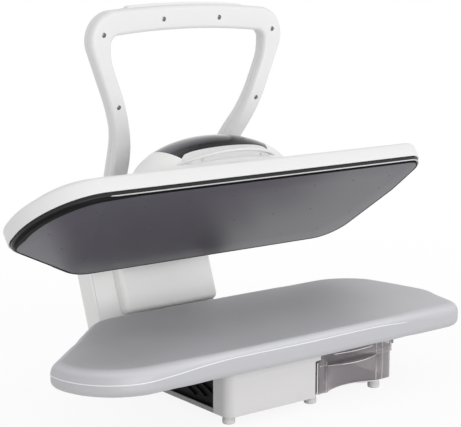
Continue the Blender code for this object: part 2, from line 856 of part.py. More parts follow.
def make_base_insides(look, press):
    """Pump, power board, tank coupling, hoses and cord gland."""
    floor = base_bottom + tray_sheet + touch_gap
    end = pump_y + pump_length
    spigot = pump_spigot
    neck = pump_radius - pump_edge
    place = (pump_x, pump_y, pump_z)
    pump = piece("water_pump", turned((
        (hose_radius, -spigot), (hose_radius, 0.0), (neck, 0.0), (pump_radius, pump_edge),
        (pump_radius, pump_length - pump_edge), (neck, pump_length),
        (hose_radius, pump_length), (hose_radius, pump_length + spigot)),
        place, (0, 1, 0), pump_round_steps), look["grey"], press, place)
    join(pump, cutter("pump_saddle", block(
        (pump_x - pump_saddle / 2, pump_y + pump_saddle_inset, floor),
        (pump_x + pump_saddle / 2, end - pump_saddle_inset, pump_z)), press))
    size = coupling_size / 2
    coupling_front = tank_back + valve_length + touch_gap
    place = (valve_x, coupling_front, valve_z)
    piece("tank_coupling", turned((
        (size, 0.0), (size, coupling_collar), (coupling_neck_radius, coupling_collar + coupling_slope),
        (coupling_neck_radius, bay_back - coupling_front - touch_gap)),
        place, (0, 1, 0), small_round_steps), look["rubber"], press, place)
    x_low, x_high = power_board_x
    y_low, y_high = power_board_y
    sheet = board_plate_sheet
    face = power_board_z + sheet
    board = piece("power_board", block((x_low, y_low, power_board_z), (x_high, y_high, face)),
                  look["green"], press)
    posts = []
    inset = board_post_radius * 2
    for x in (x_low + inset, x_high - inset):
        for y in (y_low + inset, y_high - inset):
            posts.append(rod((x, y, floor), (x, y, face - sheet / 2), board_post_radius, post_steps))
    join(board, cutter("power_board_posts", several(*posts), press))
    part_height = power_board_z + pump_radius
    mid = (x_low + x_high) / 2
    seat = face - sheet / 2
    can = (mid + pump_radius, y_low + pump_radius)
    parts = several(
        block((x_low + inset * 2, y_low + inset * 2, seat), (mid, (y_low + y_high) / 2, part_height)),
        rod((*can, seat), (*can, part_height), inset, hose_hole_steps))
    join(board, cutter("power_board_parts", parts, press))
    behind = bay_back + chassis_wall
    tube("supply_hose", smooth_route((
        (valve_x, bay_back + touch_gap, valve_z), (valve_x, behind, valve_z),
        (valve_x, behind + 2 * hose_radius, valve_z),
        (valve_x - hose_radius, behind + 5 * hose_radius, valve_z),
        (valve_x - coupling_size * 2, behind + coupling_size, valve_z),
        (pump_x + coupling_size, behind, (valve_z + pump_z) / 2),
        (pump_x, end + spigot + coupling_size, pump_z), (pump_x, end + spigot + hose_radius * 2, pump_z),
        (pump_x, end + spigot + touch_gap, pump_z)), route_steps),
        hose_radius, look["hose"], press, 1)
    side = base_left + chassis_recess + chassis_wall + 3 * hose_radius
    riser = hose_riser_y()
    start = pump_y - spigot
    tube("lower_pressure_hose", smooth_route((
        (pump_x, start - touch_gap, pump_z), (pump_x, start - hose_radius * 1.5, pump_z),
        (pump_x, start - hose_radius * 3, pump_z),
        (pump_x - coupling_size / 2, start - hose_radius * 8, pump_z),
        (side, start, pump_z), (side, bay_back, pump_z),
        (side + coupling_size, y_high + coupling_size, pump_z - 4 * hose_radius),
        (-coupling_size, riser, pump_z - 4 * hose_radius),
        (0.0, riser, deck_z - 4 * hose_radius), (0.0, riser, deck_z - 2 * hose_radius),
        (0.0, riser, deck_z + hose_radius)), route_steps),
        hose_radius, look["hose"], press, 1)
    back = base_back - tray_sheet - slide_gap
    piece("cord_gland", sleeve(
        (gland_x, back - chassis_wall - overrun, gland_z), (gland_x, back + gland_length, gland_z),
        gland_radius, gland_bore, small_round_steps), look["black"], press, (gland_x, back, gland_z))


def make_hinge(look, press):
    """Bracket on the deck, pin, two flanged bushes and two lift springs."""
    ear = eye_radius
    low = deck_z + touch_gap
    top = bracket_plate_top
    half = bracket_half_length
    sheet = bracket_sheet
    axis = (hinge_y, hinge_z)
    bracket = piece("hinge_bracket", block(
        (-half - ear, hinge_y - bracket_depth / 2, low),
        (half + ear, hinge_y + bracket_depth / 2, top)), look["steel"], press)
    for index, x in enumerate((-half, half - sheet)):
        plate = cutter(f"bracket_ear_{index + 1}", side_prism((
            (hinge_y - ear, low + sheet / 2), (hinge_y + ear, low + sheet / 2),
            (hinge_y + ear, hinge_z + ear), (hinge_y - ear, hinge_z + ear)),
            [0.0, 0.0, ear * eye_round_share, ear * eye_round_share], x, x + sheet, side_arc_steps), press)
        join(bracket, plate)
    reach = half + overrun
    bore = rod((-reach, *axis), (reach, *axis), pin_radius + touch_gap)
    cut(bracket, cutter("bracket_bore", bore, press))
    pin = rod((-half - sheet, *axis), (half + sheet, *axis), pin_radius)
    piece("hinge_pin", pin, look["steel"], press, (0.0, *axis))


def spring_points(side):
    """A torsion spring's wire: a round coil about the pin, then a straight leg down to the bracket."""
    points = []
    radius = spring_coil_radius
    for step in range(spring_coils * spring_turn_steps + 1):
        turns = step / spring_turn_steps
        angle = math.pi + 2 * math.pi * turns
        x = side * (spring_inner_end + spring_pitch * turns)
        points.append((x, hinge_y + radius * math.cos(angle), hinge_z + radius * math.sin(angle)))
    last = points[-1]
    points.append((last[0], last[1], bracket_plate_top + touch_gap))
    return points


def spring_clearance():
    """Least gap between neighbouring curls: the rise of a turn less one wire."""
    return spring_pitch - 2 * spring_wire


def make_springs(look, press):
    """Two lift springs on the pin, left and right."""
    for name, side in (("lift_spring_left", -1), ("lift_spring_right", 1)):
        tube(name, spring_points(side), spring_wire, look["steel"], press, 1)
    print("least gap between curls", spring_clearance())


def column_point(out, up):
    """Depth and height of a place on the leaning column: out is behind the hinge axis, up is along it."""
    return (hinge_y + out * math.cos(column_lean) - up * math.sin(column_lean),
            hinge_z + out * math.sin(column_lean) + up * math.cos(column_lean))


def cross_bar_place():
    """Depth and height of the cross bar, which the column holds right above the hinge."""
    return column_point(cross_bar_out, cross_bar_up)


def make_lift_arm(look, head):
    """Pressed steel arm: two side plates joined by a web, from the eyes up the column to the head."""
    ear = eye_radius
    bar = cross_bar_place()
    beam_low_back = column_point(-ear, 0.0)
    slope = math.tan(column_lean)
    underside_y = beam_low_back[0] - (arm_beam_bottom - beam_low_back[1]) * slope
    back_foot = column_point(arm_column_depth, 0.0)
    roof_y = back_foot[0] - (arm_beam_top - back_foot[1]) * slope
    foot_z = plate_thickness + touch_gap + lid_height + touch_gap
    eye_back = column_point(ear, 0.0)
    shin = column_point(arm_column_depth, arm_shin_up)
    tip_front = column_point(-ear, -ear)
    tip_back = column_point(ear, -ear)
    corners = (
        tip_front, (underside_y, arm_beam_bottom), (arm_foot_back, arm_beam_bottom),
        (arm_foot_back, foot_z), (arm_foot_front, foot_z), (arm_foot_front, arm_beam_top),
        (roof_y, arm_beam_top), shin, eye_back, tip_back)
    tip = ear * eye_round_share
    radii = [tip, arm_inner_corner, 0.0, 0.0, 0.0, 0.0, arm_corner, 0.0, 0.0, tip]
    half = arm_half_width
    arm = piece("lift_arm", side_prism(corners, radii, -half, half, side_arc_steps), look["steel"], head)
    sheet = arm_sheet
    inner = half - sheet
    web_shin = column_point(arm_column_depth - sheet, arm_shin_up)
    web_roof_y = roof_y - sheet * math.tan(column_lean / 2 + math.pi / 4)
    far = column_point(-ear - overrun, -ear - overrun)
    behind = column_point(arm_column_depth - sheet, -ear - overrun)
    hollow = (
        far, (underside_y - overrun, arm_beam_bottom - overrun),
        (arm_foot_back + sheet, arm_beam_bottom - overrun), (arm_foot_back - sheet, foot_z + sheet),
        (arm_foot_front + sheet, foot_z + sheet), (arm_foot_front + sheet, arm_beam_top - sheet),
        (web_roof_y, arm_beam_top - sheet), web_shin, behind)
    hollow_radii = [0.0] * 6 + [arm_corner - sheet] + [0.0] * 2
    cut(arm, cutter("arm_hollow", side_prism(hollow, hollow_radii, -inner, inner, side_arc_steps), head))
    wide = half + overrun
    cut(arm, cutter("arm_bores", several(
        rod((-wide, hinge_y, hinge_z), (wide, hinge_y, hinge_z), pin_radius + bush_wall + 2 * touch_gap),
        rod((-wide, *bar), (wide, *bar), cross_bar_radius + touch_gap),
    ), head))
    cut(arm, cutter("arm_hose_hole", rod(
        (0.0, hose_drop_y(), foot_z - overrun), (0.0, hose_drop_y(), foot_z + sheet + overrun),
        hose_radius + slide_gap, hose_hole_steps), head))
    piece("cross_bar", rod((-cross_bar_half_length, *bar), (cross_bar_half_length, *bar), cross_bar_radius),
          look["steel"], head, (0.0, *bar))
    for name, side in (("hinge_bush_left", -1), ("hinge_bush_right", 1)):
        outer_x = side * (half + touch_gap + bush_flange)
        flange_x = side * (half + touch_gap)
        inner_x = side * inner
        piece(name, bush(inner_x, flange_x, outer_x), look["black"], head, (0.0, hinge_y, hinge_z))


def bush(inner_x, flange_x, outer_x):
    """A mesh maker: a flanged bush about the hinge axis."""
    bore = pin_radius + running_gap
    body = pin_radius + bush_wall + touch_gap
    flange = eye_radius - touch_gap
    profile = ((bore, inner_x), (body, inner_x), (body, flange_x), (flange, flange_x), (flange, outer_x),
               (bore, outer_x))
    return turned(profile, (0.0, hinge_y, hinge_z), (1, 0, 0), round_steps, True)


def hose_drop_y():
    """Where the pressure hose turns down into the steam chamber."""
    return (arm_foot_front + arm_foot_back) / 2


def upper_hose_route():
    """Knots of the pressure hose: up the column behind the pin, over the cross bar and down to the lid."""
    start = column_point(hose_start_out, hose_start_up)
    rise = column_point(hose_rise_out, hose_rise_up)
    turn = column_point(hose_turn_out, hose_turn_up)
    bar_y, bar_z = cross_bar_place()
    run_z = bar_z - cross_bar_radius - hose_radius - 2 * slide_gap
    foot = plate_thickness + touch_gap + lid_height + slide_gap
    drop = hose_drop_y()
    return [(0.0, *start), (0.0, *rise), (0.0, *turn), (0.0, bar_y, run_z),
            (0.0, bar_y - arm_corner, run_z), (0.0, drop + arm_corner * 1.5, run_z),
            (0.0, drop + hose_radius * 2, run_z - hose_radius * 1.5), (0.0, drop, run_z - arm_corner / 2),
            (0.0, drop, foot)]


def column_outer_side(front, back, top, radius):
    """Corners and radii of the column in side view, from its open foot at the hinge axis to its roof."""
    corners = ((-front, 0.0), (-front, top), (back, top), (back, 0.0))
    return corners, [0.0, radius * column_front_edge_share, radius, 0.0]


def make_column(look, head, column):
    """Front cover, rear cover with both side walls, and the proud box on the front."""
    wall = column_wall
    back = column_depth - column_front
    half = column_half_width
    corners, radii = column_outer_side(column_front, back, column_height, column_roof_radius)
    rear = piece("column_rear_cover", side_prism(corners, radii, -half, half, side_arc_steps),
                 look["white"], column)
    bevel = rear.modifiers.new("edge_round", "BEVEL")
    bevel.width = column_corner / 2
    bevel.segments = coarse_arc_steps
    bevel.limit_method = "ANGLE"
    bevel.angle_limit = math.radians(bevel_from_degrees)
    hollow = ((-column_front - overrun, -overrun), (-column_front - overrun, column_height - wall),
              (back - wall, column_height - wall), (back - wall, -overrun))
    hollow_radii = [0.0, 0.0, column_roof_radius - wall, 0.0]
    cut(rear, cutter("column_hollow", side_prism(
        hollow, hollow_radii, -half + wall, half - wall, side_arc_steps), column))
    seat = half - wall - touch_gap
    front = piece("column_front_cover", side_prism((
        (-column_front, 0.0), (-column_front, column_height - wall - touch_gap),
        (-column_front + wall, column_height - wall - touch_gap), (-column_front + wall, 0.0)),
        [0.0] * 4, -seat, seat), look["white"], column)
    cut(front, cutter("column_arm_window", block(
        (-arm_half_width - slide_gap, hinge_y - column_depth * 2, plateau_z + 2 * slide_gap),
        (arm_half_width + slide_gap, hinge_y, arm_beam_top + slide_gap)), head))
    ends = []
    for side in (-1, 1):
        start = handle_place(side, handle_length() * core_hole_start_share)
        end = handle_place(side, handle_length())
        ends.append(rod(start, end, handle_core_radius + 2 * slide_gap, hose_hole_steps))
    cut(front, cutter("column_core_holes", several(*ends), head))
    outline = rectangle(box_left, box_bottom, box_right, box_top, box_corner)
    face = column_front + box_proud
    seat_level = column_front + touch_gap
    def make(work):
        levels = [(-box_corner, face - box_wall), (-box_wall, face - box_corner), (-box_wall, seat_level),
                  (0.0, seat_level), (0.0, face - box_edge), (-box_edge_cut, face - box_edge_cut),
                  (-box_edge, face)]
        rings = []
        for level in levels:
            flat = ring(outline, *level)
            rings.append(np.column_stack((flat[:, 0], -flat[:, 2], flat[:, 1])))
        loft(work, rings)
    piece("column_box_cover", make, look["white"], column)


def make_spine(look, head):
    """White cover over the lift arm's beam, from the column to the control housing."""
    half = spine_half_width
    low = plateau_z + touch_gap
    back = hinge_y
    front = hump_y
    wall = spine_wall
    spine = piece("spine_cover", spine_section(half, low, spine_top, spine_corner, front, back),
                  look["white"], head)
    cut(spine, cutter("spine_hollow", spine_section(
        half - wall, low - overrun, spine_top - wall, spine_corner - wall,
        front - overrun, back + overrun), head))
    cut(spine, cutter("spine_hump_cut", dome(touch_gap, low - overrun), head))
    front_corner = column_point(-column_front - touch_gap, 0.0)
    front_top = column_point(-column_front - touch_gap, column_height + overrun)
    cut(spine, cutter("spine_column_cut", side_prism((
        front_corner, front_top, (back + overrun * 2, front_top[1]), (back + overrun * 2, front_corner[1])),
        [0.0] * 4, -half - overrun, half + overrun, 1), head))


def spine_section(half, low, high, radius, front, back):
    """A mesh maker: an arch in front view, flat at its foot, round at its shoulders, run front to back."""
    points, _ = rounded(((-half, low), (-half, high), (half, high), (half, low)), [0.0, radius, radius, 0.0],
                        corner_steps)
    def make(work):
        loft(work, [np.insert(points, 1, y, axis=1) for y in (front, back)])
    return make


def dome(grow, foot, around=dome_around_steps, up=dome_up_steps):
    """A mesh maker: the control housing's dome, half an ellipsoid on the plateau, grown by a margin."""
    def make(work):
        rings = []
        base = plateau_z + touch_gap
        levels = [(1.0, foot)] if foot < base else []
        for step in range(up + 1):
            angle = math.pi / 2 * step / (up + dome_flat_share)
            levels.append((math.cos(angle), base + (hump_height + grow) * math.sin(angle)))
        for share, z in levels:
            rings.append([])
            for index in range(around):
                turn = 2 * math.pi * index / around
                rings[-1].append(((hump_half_length + grow) * share * math.cos(turn),
                                  hump_y + (hump_half_width + grow) * share * math.sin(turn), z))
        loft(work, rings)
    return make


def window_outline(grow):
    """The dark cover's outline in plan: a rectangle with wide round corners."""
    half = window_half_length + grow
    return rectangle(-half, window_front - grow, half, window_back + grow, window_corner + grow,
                     side_arc_steps)


def dome_height(x, y, grow=0.0):
    """Height of the housing's dome, or of one smaller or larger by a margin, over a place in plan."""
    inside = 1 - (x / (hump_half_length + grow)) ** 2 - ((y - hump_y) / (hump_half_width + grow)) ** 2
    return plateau_z + touch_gap + (hump_height + grow) * math.sqrt(inside)


def dome_front(x, z):
    """Depth of the housing's dome at its front, at a place across and a height."""
    rise = (z - plateau_z - touch_gap) / hump_height
    return hump_y - hump_half_width * math.sqrt(1 - rise ** 2 - (x / hump_half_length) ** 2)


def button_places():
    """Places of the four push buttons across the dark cover."""
    return [((index - 1.5) * button_pitch, button_y) for index in range(4)]


def make_control(look, head, buttons):
    """Control housing, dark cover, visor, control board and four buttons."""
    base = plateau_z + touch_gap
    housing = piece("control_housing", dome(0.0, base), look["white"], head)
    cut(housing, cutter("housing_hollow", dome(-hump_wall, base - overrun), head))
    tall = base + hump_height + overrun
    floor = base + window_floor
    cut(housing, cutter("housing_window", prism(window_outline(touch_gap), floor, tall), head))
    gate = arm_half_width + slide_gap
    cut(housing, cutter("housing_arm_gate", block(
        (-gate, hump_y, base - overrun),
        (gate, hump_y + hump_half_width + overrun, arm_beam_top + slide_gap)), head))
    cover = piece("control_cover", dome(0.0, base), look["smoke"], head)
    outline = cutter("cover_outline", prism(window_outline(0.0), floor + touch_gap, tall), head)
    boolean(cover, outline, "INTERSECT")
    cut(cover, cutter("cover_hollow", dome(-hump_wall, base - overrun), head))
    holes = []
    for x, y in button_places():
        holes.append(rod((x, y, board_plate_z), (x, y, tall), button_radius + touch_gap, small_round_steps))
    cut(cover, cutter("cover_button_holes", several(*holes), head))
    names = ("button_power", "button_cooler", "button_hotter", "button_steam")
    for name, (x, y), slide in zip(names, button_places(), buttons):
        top = dome_height(x, y) + button_lift
        flange = button_radius + button_flange
        flange_top = dome_height(abs(x) + flange, y + flange, -hump_wall) - button_flange_gap
        stem_low = board_plate_z + board_plate_sheet + button_travel + slide_gap
        piece(name, turned((
            (button_stem_radius, stem_low), (button_stem_radius, flange_top - button_flange),
            (flange, flange_top - button_flange), (flange, flange_top), (button_radius, flange_top),
            (button_radius, top - button_flange / 2), (button_radius - button_flange / 2, top)),
            (x, y, 0.0), (0, 0, 1), small_round_steps), look["white"], slide, (x, y, flange_top))
    make_visor(look, head)
    z = board_plate_z
    half = board_plate_half_length
    board = piece("control_board", block(
        (-half, board_plate_front, z), (half, board_plate_back, z + board_plate_sheet)), look["green"], head)
    seat = arm_beam_top + touch_gap
    middle = z + board_plate_sheet / 2
    posts = []
    for x in (2 * board_post_radius - arm_half_width, arm_half_width - 2 * board_post_radius):
        posts.append(rod((x, board_post_y, seat), (x, board_post_y, middle), board_post_radius, post_steps))
    front = board_plate_front + board_post_radius
    screen = block((-display_half_length, front, middle),
                   (display_half_length, front + display_depth, z + display_height))
    join(board, cutter("control_board_parts", several(*posts, screen), head))


def make_visor(look, head):
    """White brow under the dark cover: a crescent that slopes from the dome out to a thin rim."""
    half = visor_half_length
    sagitta = visor_end_y - visor_front_y
    radius = (half ** 2 + sagitta ** 2) / (2 * sagitta)
    centre_y = visor_front_y + radius
    widest = math.asin(half / radius)
    edge = (visor_rim_high - visor_rim_low) / 3
    def make(work):
        rings = []
        for step in range(visor_steps + 1):
            share = 2 * step / visor_steps - 1
            x = radius * math.sin(widest * share)
            y = centre_y - radius * math.cos(widest * share)
            top = visor_rim_high + (visor_top - visor_rim_high) * (1 - share ** visor_fade)
            high = dome_front(x, top)
            low = dome_front(x, visor_bottom)
            rings.append([(x, y + edge, visor_rim_low), (x, y, visor_rim_low + edge),
                          (x, y, visor_rim_high - edge), (x, y + edge, visor_rim_high),
                          (x, high - edge, top - edge), (x, high, top), (x, high + visor_root, top),
                          (x, low + visor_root, visor_bottom), (x, low, visor_bottom)])
        loft(work, rings)
    visor = piece("visor", make, look["white"], head)
    cut(visor, cutter("visor_dome_cut", dome(touch_gap, plateau_z), head))


def make_head(look, head):
    """Soleplate, element, steam chamber lid, thermostat, skirt and shell."""
    outline = plate_outline()
    chamfer = plate_chamfer
    plate = piece("soleplate", stack(outline, (
        (-chamfer, 0.0), (0.0, chamfer), (0.0, plate_thickness))), look["sole"], head)
    through = plate_thickness + overrun
    holes = [rod((x, y, -overrun), (x, y, through), steam_hole_radius, post_steps) for x, y in steam_holes()]
    cut(plate, cutter("steam_holes", several(*holes), head))

    seat = plate_thickness + touch_gap
    lid_top = seat + lid_height
    lid = lid_wall
    draw = lid_draw_share
    inside = -lid_inset - lid
    lid_piece = piece("steam_chamber_lid", stack(plate_outline(coarse_arc_steps), (
        (inside, lid_top - lid, 2 * draw), (inside, lid_top - lid, draw), (inside, seat, draw),
        (-lid_inset, seat, draw), (-lid_inset, lid_top - lid, draw), (inside, lid_top, draw))),
        look["cast"], head)
    cut(lid_piece, cutter("lid_hose_hole", rod(
        (0.0, hose_drop_y(), seat), (0.0, hose_drop_y(), lid_top + overrun),
        hose_radius - slide_gap, hose_hole_steps), head))
    place = (thermostat_x, plate_width / 2, lid_top + touch_gap)
    piece("thermostat", turned((
        (thermostat_radius, 0.0), (thermostat_radius, thermostat_step),
        (thermostat_top_radius, thermostat_step), (thermostat_top_radius, thermostat_height)),
        place, (0, 0, 1)), look["cast"], head, place)
    points, outward = plate_outline(coarse_arc_steps)
    path = points - outward * element_inset
    height = seat + element_radius
    open_path = [(x, y, height) for x, y in np.roll(path, element_break, axis=0)]
    open_path = [(*open_path[0][:2], height + element_terminal), *open_path,
                 (*open_path[-1][:2], height + element_terminal)]
    tube("heating_element", open_path, element_radius, look["steel"], head, 1)

    bottom = skirt_bottom
    inner = touch_gap
    piece("skirt", closed_section(outline, (
        (inner, bottom), (skirt_grow - skirt_edge, bottom), (skirt_grow, bottom + skirt_edge),
        (skirt_grow, skirt_top), (-skirt_lip, skirt_top), (-skirt_lip, seat), (inner, seat))),
        look["black"], head)

    wall = shell_wall
    grow = rim_grow
    top = rim_top
    low = rim_bottom
    middle = (rim_top + plateau_z) / 2
    mitre = rim_radius * (1 - math.sqrt(0.5))
    shell_levels = (
        (-plateau_inset, plateau_z - wall), (-plateau_inset / 2, middle - wall),
        (grow - rim_radius, top - wall), (grow - wall, top - rim_radius), (grow - rim_draft - wall, low),
        (grow - rim_draft, low), (grow, top - rim_radius), (grow - mitre, top - mitre),
        (grow - rim_radius, top), (-plateau_inset / 2 + wall, middle + wall / 2), (-plateau_inset, plateau_z))
    shell = piece("head_shell", stack(outline, shell_levels), look["white"], head)
    cut(shell, cutter("shell_arm_window", block(
        (-arm_half_width - slide_gap, arm_foot_front - slide_gap, plateau_z - wall - overrun),
        (arm_half_width + slide_gap, arm_foot_back + slide_gap, plateau_z + overrun)), head))


def closed_section(outline, section):
    """A mesh maker: a ring whose section of (grow, height) points is carried round an outline."""
    def make(work):
        loft(work, [ring(outline, grow, height) for grow, height in section], closed=True)
    return make


def steam_holes():
    """Places of the steam holes: one row inside the soleplate's edge and one along its middle."""
    points, outward = plate_outline(fine_arc_steps)
    row = points - outward * steam_hole_inset
    closed = np.vstack((row, row[:1]))
    lengths = np.concatenate(((0.0,), np.cumsum(np.linalg.norm(np.diff(closed, axis=0), axis=1))))
    count = max(3, round(lengths[-1] / steam_hole_spacing))
    places = []
    for index in range(count):
        at = lengths[-1] * index / count
        places.append([float(np.interp(at, lengths, closed[:, axis])) for axis in (0, 1)])
    reach = plate_length / 2 - 3 * steam_hole_inset
    inner = max(1, round(2 * reach / steam_hole_spacing))
    for index in range(inner):
        x = -reach + 2 * reach * (index + 0.5) / inner
        places.append((x, plate_width / 2))
    return places


def handle_side_path():
    """The handle in side view: from its top down the straight grip, round the knee and back to the bar."""
    corners = ((handle_top_y, handle_top_z), (handle_knee_y, handle_knee_z), cross_bar_place())
    top, knee, bar = (np.array(corner) for corner in corners)
    to_top = (top - knee) / np.linalg.norm(top - knee)
    to_bar = (bar - knee) / np.linalg.norm(bar - knee)
    half = math.acos(float(to_top @ to_bar)) / 2
    run = handle_knee_radius / math.tan(half)
    return top, knee, bar, to_top, to_bar, half, run


def handle_length():
    """Length of the handle's side path."""
    top, knee, bar, _, _, half, run = handle_side_path()
    arc = handle_knee_radius * (math.pi - 2 * half)
    return float(np.linalg.norm(top - knee) + np.linalg.norm(bar - knee)) - 2 * run + arc


def on_handle_path(drop):
    """Place and upward normal, in depth and height, at a distance down the handle's side path."""
    top, knee, bar, to_top, to_bar, half, run = handle_side_path()
    first = float(np.linalg.norm(top - knee)) - run
    turn = math.pi - 2 * half
    arc = handle_knee_radius * turn
    def square(way):
        return np.array((-way[1], way[0]))
    if drop <= first:
        return top - to_top * drop, square(-to_top)
    if drop >= first + arc:
        return knee + to_bar * (run + drop - first - arc), square(to_bar)
    start = knee + to_top * run
    normal = square(-to_top)
    centre = start + normal * handle_knee_radius
    angle = (drop - first) / handle_knee_radius
    away = start - centre
    spun = np.array((away[0] * math.cos(angle) - away[1] * math.sin(angle),
                     away[0] * math.sin(angle) + away[1] * math.cos(angle)))
    return centre + spun, -spun / handle_knee_radius


def handle_point(x, drop, out):
    """A place on the handle: across, down its path, and out along its upward normal."""
    place, normal = on_handle_path(drop)
    return (x, place[0] + normal[0] * out, place[1] + normal[1] * out)


def handle_outlines(end):
    """Outer and inner outline of the loop, station by station, from the left root round to the right."""
    outer = half_outline((
        (handle_root_half, end, 0.0), (handle_waist_half, handle_waist_drop, handle_waist_radius),
        (handle_corner_half, handle_corner_drop, handle_corner_radius), (0.0, 0.0, 0.0)))
    inner = half_outline((
        (handle_inner_root_half, end, 0.0),
        (handle_inner_waist_half, handle_inner_waist_drop, handle_waist_radius),
        (handle_inner_shoulder_half, handle_inner_shoulder_drop, handle_inner_shoulder_radius),
        (handle_inner_corner_half, handle_inner_corner_drop, handle_inner_corner_radius),
        (0.0, handle_inner_top, 0.0)))
    flip = np.array((-1.0, 1.0))
    return np.vstack((outer * flip, outer[::-1][1:])), np.vstack((inner * flip, inner[::-1][1:]))


def spaced(points, count):
    """Evenly spaced places along a line of points, with its start and without its end."""
    points = np.array(points)
    steps = np.linalg.norm(np.diff(points, axis=0), axis=1)
    lengths = np.concatenate(((0.0,), np.cumsum(steps)))
    at = lengths[-1] * np.arange(count) / count
    return list(np.column_stack([np.interp(at, lengths, points[:, axis]) for axis in (0, 1)]))


def half_outline(corners):
    """Places along the right half of an outline, from its root up to the middle of its top.

    Its corners are (half width, drop, radius). The outer and the inner outline get equal counts of
    places on the legs, at the waist, above it, round the top corner and along the top.
    """
    fine = 12
    root, *bends, top = corners
    mirror = (-bends[-1][0], bends[-1][1], 0.0)
    full = (mirror, root, *bends, top)
    points, _ = rounded([corner[:2] for corner in full], [corner[2] for corner in full], fine)
    arcs = [points[2 + index * (fine + 1):2 + (index + 1) * (fine + 1)] for index in range(len(bends))]
    waist, shoulder, corner = arcs[0], arcs[1] if len(arcs) == 3 else arcs[1][:1], arcs[-1]
    middle = points[-1]
    last = corner[-1]
    bow = np.array((0.0, (middle[1] - last[1]) * handle_bow_share))
    shares = np.linspace(0.0, 1.0, fine)
    arch = [last + (middle - last) * share + bow * math.sin(math.pi * share) for share in shares]
    places = spaced([points[1], waist[0]], 2) + spaced(waist, 4)
    places += spaced([waist[-1], *shoulder], 3) + spaced([shoulder[-1], *corner], 6) + spaced(arch, 3)
    return np.array([*places, middle])


def handle_section_maker(section, end, first=None, last=None):
    """A mesh maker: a section of (across from the outer edge, out) points carried round the loop.

    Each section point has its distance from the outer edge, or from the inner edge where it is
    negative, and its height along the normal.
    """
    def make(work):
        outer, inner = handle_outlines(end)
        rings = []
        for out_edge, in_edge in list(zip(outer, inner))[first:last]:
            across = in_edge - out_edge
            width = np.linalg.norm(across)
            points = []
            for along, height in section:
                share = along / width if along >= 0 else 1 + along / width
                spot = out_edge + across * share
                points.append(handle_point(spot[0], spot[1], height))
            rings.append(points)
        loft(work, rings)
    return make


def handle_middle(drop):
    """Half width between the middles of the handle's two legs, at a distance down its path."""
    outer, inner = handle_outlines(handle_length())
    core = (outer + inner) / 2
    half = core[:len(core) // 2 + 1]
    order = np.argsort(half[:, 1])
    return float(np.interp(drop, half[order, 1], np.abs(half[order, 0])))


def handle_place(side, drop):
    """A place on the handle's core."""
    return Vector(handle_point(side * handle_middle(drop), drop, 0.0))


def handle_screw_places():
    """Half width and drop of the handle's screws: on the grip bar, in the corner and on the leg."""
    return ((top_screw_half, handle_inner_top * top_screw_share),
            (handle_corner_half - corner_screw_inset, handle_corner_drop + corner_screw_drop),
            (handle_middle(leg_screw_drop), leg_screw_drop))


def make_handle(look, head):
    """Steel core, two shells, grip pad and six screws."""
    full = handle_length()
    end = full - cross_bar_radius - 2 * slide_gap
    outer, inner = handle_outlines(end)
    core = (outer + inner) / 2
    route = [handle_point(x, drop, 0.0) for x, drop in core]
    tube("handle_core", route, handle_core_radius, look["steel"], head)

    half = handle_thickness / 2
    wall = handle_wall
    edge = handle_edge
    split = touch_gap / 2
    mitre = edge * (1 - math.sqrt(0.5))
    far = -tiny
    lower = ((0.0, -split), (0.0, -half + edge), (mitre, -half + mitre), (edge, -half), (-edge, -half),
             (-mitre, -half + mitre), (far, -half + edge), (far, -split), (-wall, -split),
             (-wall, -half + edge), (-edge, -half + wall), (edge, -half + wall), (wall, -half + edge),
             (wall, -split))
    upper = tuple((across, -height) for across, height in lower)
    shell_end = full - arm_corner
    lower_shell = piece("handle_lower_shell", handle_section_maker(lower, shell_end), look["white"], head)
    upper_shell = piece("handle_upper_shell", handle_section_maker(upper, shell_end), look["white"], head)
    foot = column_point(-column_front - touch_gap, -overrun)
    top = column_point(-column_front - touch_gap, column_height * 2)
    behind = hinge_y + column_depth
    wide = column_half_width + overrun
    keep_off = cutter("handle_column_cut", side_prism((foot, top, (behind, top[1]), (behind, foot[1])),
                                                      [0.0] * 4, -wide, wide, 1), head)
    cut(lower_shell, keep_off)
    cut(upper_shell, keep_off)

    holes = []
    number = 1
    for side in (-1, 1):
        for x, drop in handle_screw_places():
            face = Vector(handle_point(side * x, drop, -half - overrun))
            floor = Vector(handle_point(side * x, drop, -half + screw_head_depth + slide_gap))
            holes.append(rod(face, floor, screw_recess_radius, screw_steps))
            seat = Vector(handle_point(side * x, drop, -half + screw_head_depth))
            way = (seat - face).normalized()
            piece(f"handle_screw_{number}", turned((
                (screw_radius, -screw_head_height), (screw_radius, 0.0)),
                seat, way, screw_steps), look["steel"], head, seat)
            number += 1
    cut(lower_shell, cutter("handle_screw_recesses", several(*holes), head))

    crown = half + touch_gap
    grip = rounded(((-grip_half_length, grip_margin), (-grip_half_length, handle_inner_top - grip_margin),
                    (grip_half_length, handle_inner_top - grip_margin), (grip_half_length, grip_margin)),
                   [grip_margin] * 4, 3)
    def make(work):
        rings = []
        top = crown + grip_thickness
        for grow, out in ((0.0, crown), (0.0, top - grip_edge), (-grip_margin / 2, top)):
            flat = ring(grip, grow, out)
            rings.append([handle_point(x, drop, height) for x, drop, height in flat])
        loft(work, rings)
    piece("grip_pad", make, look["white"], head)


def scoop_outline(left, right, front, depth):
    """A lens in plan: straight in front of the tank and curved into it."""
    half = (right - left) / 2
    middle = (left + right) / 2
    radius = (half ** 2 + depth ** 2) / (2 * depth)
    widest = math.asin(min(1.0, half / radius))
    points = [(middle + half, front - overrun), (middle - half, front - overrun)]
    for step in range(scoop_steps + 1):
        angle = -widest + 2 * widest * step / scoop_steps
        points.append((middle + radius * math.sin(angle), front + depth - radius * (1 - math.cos(angle))))
    points = np.array(points)
    return points, points * 0.0


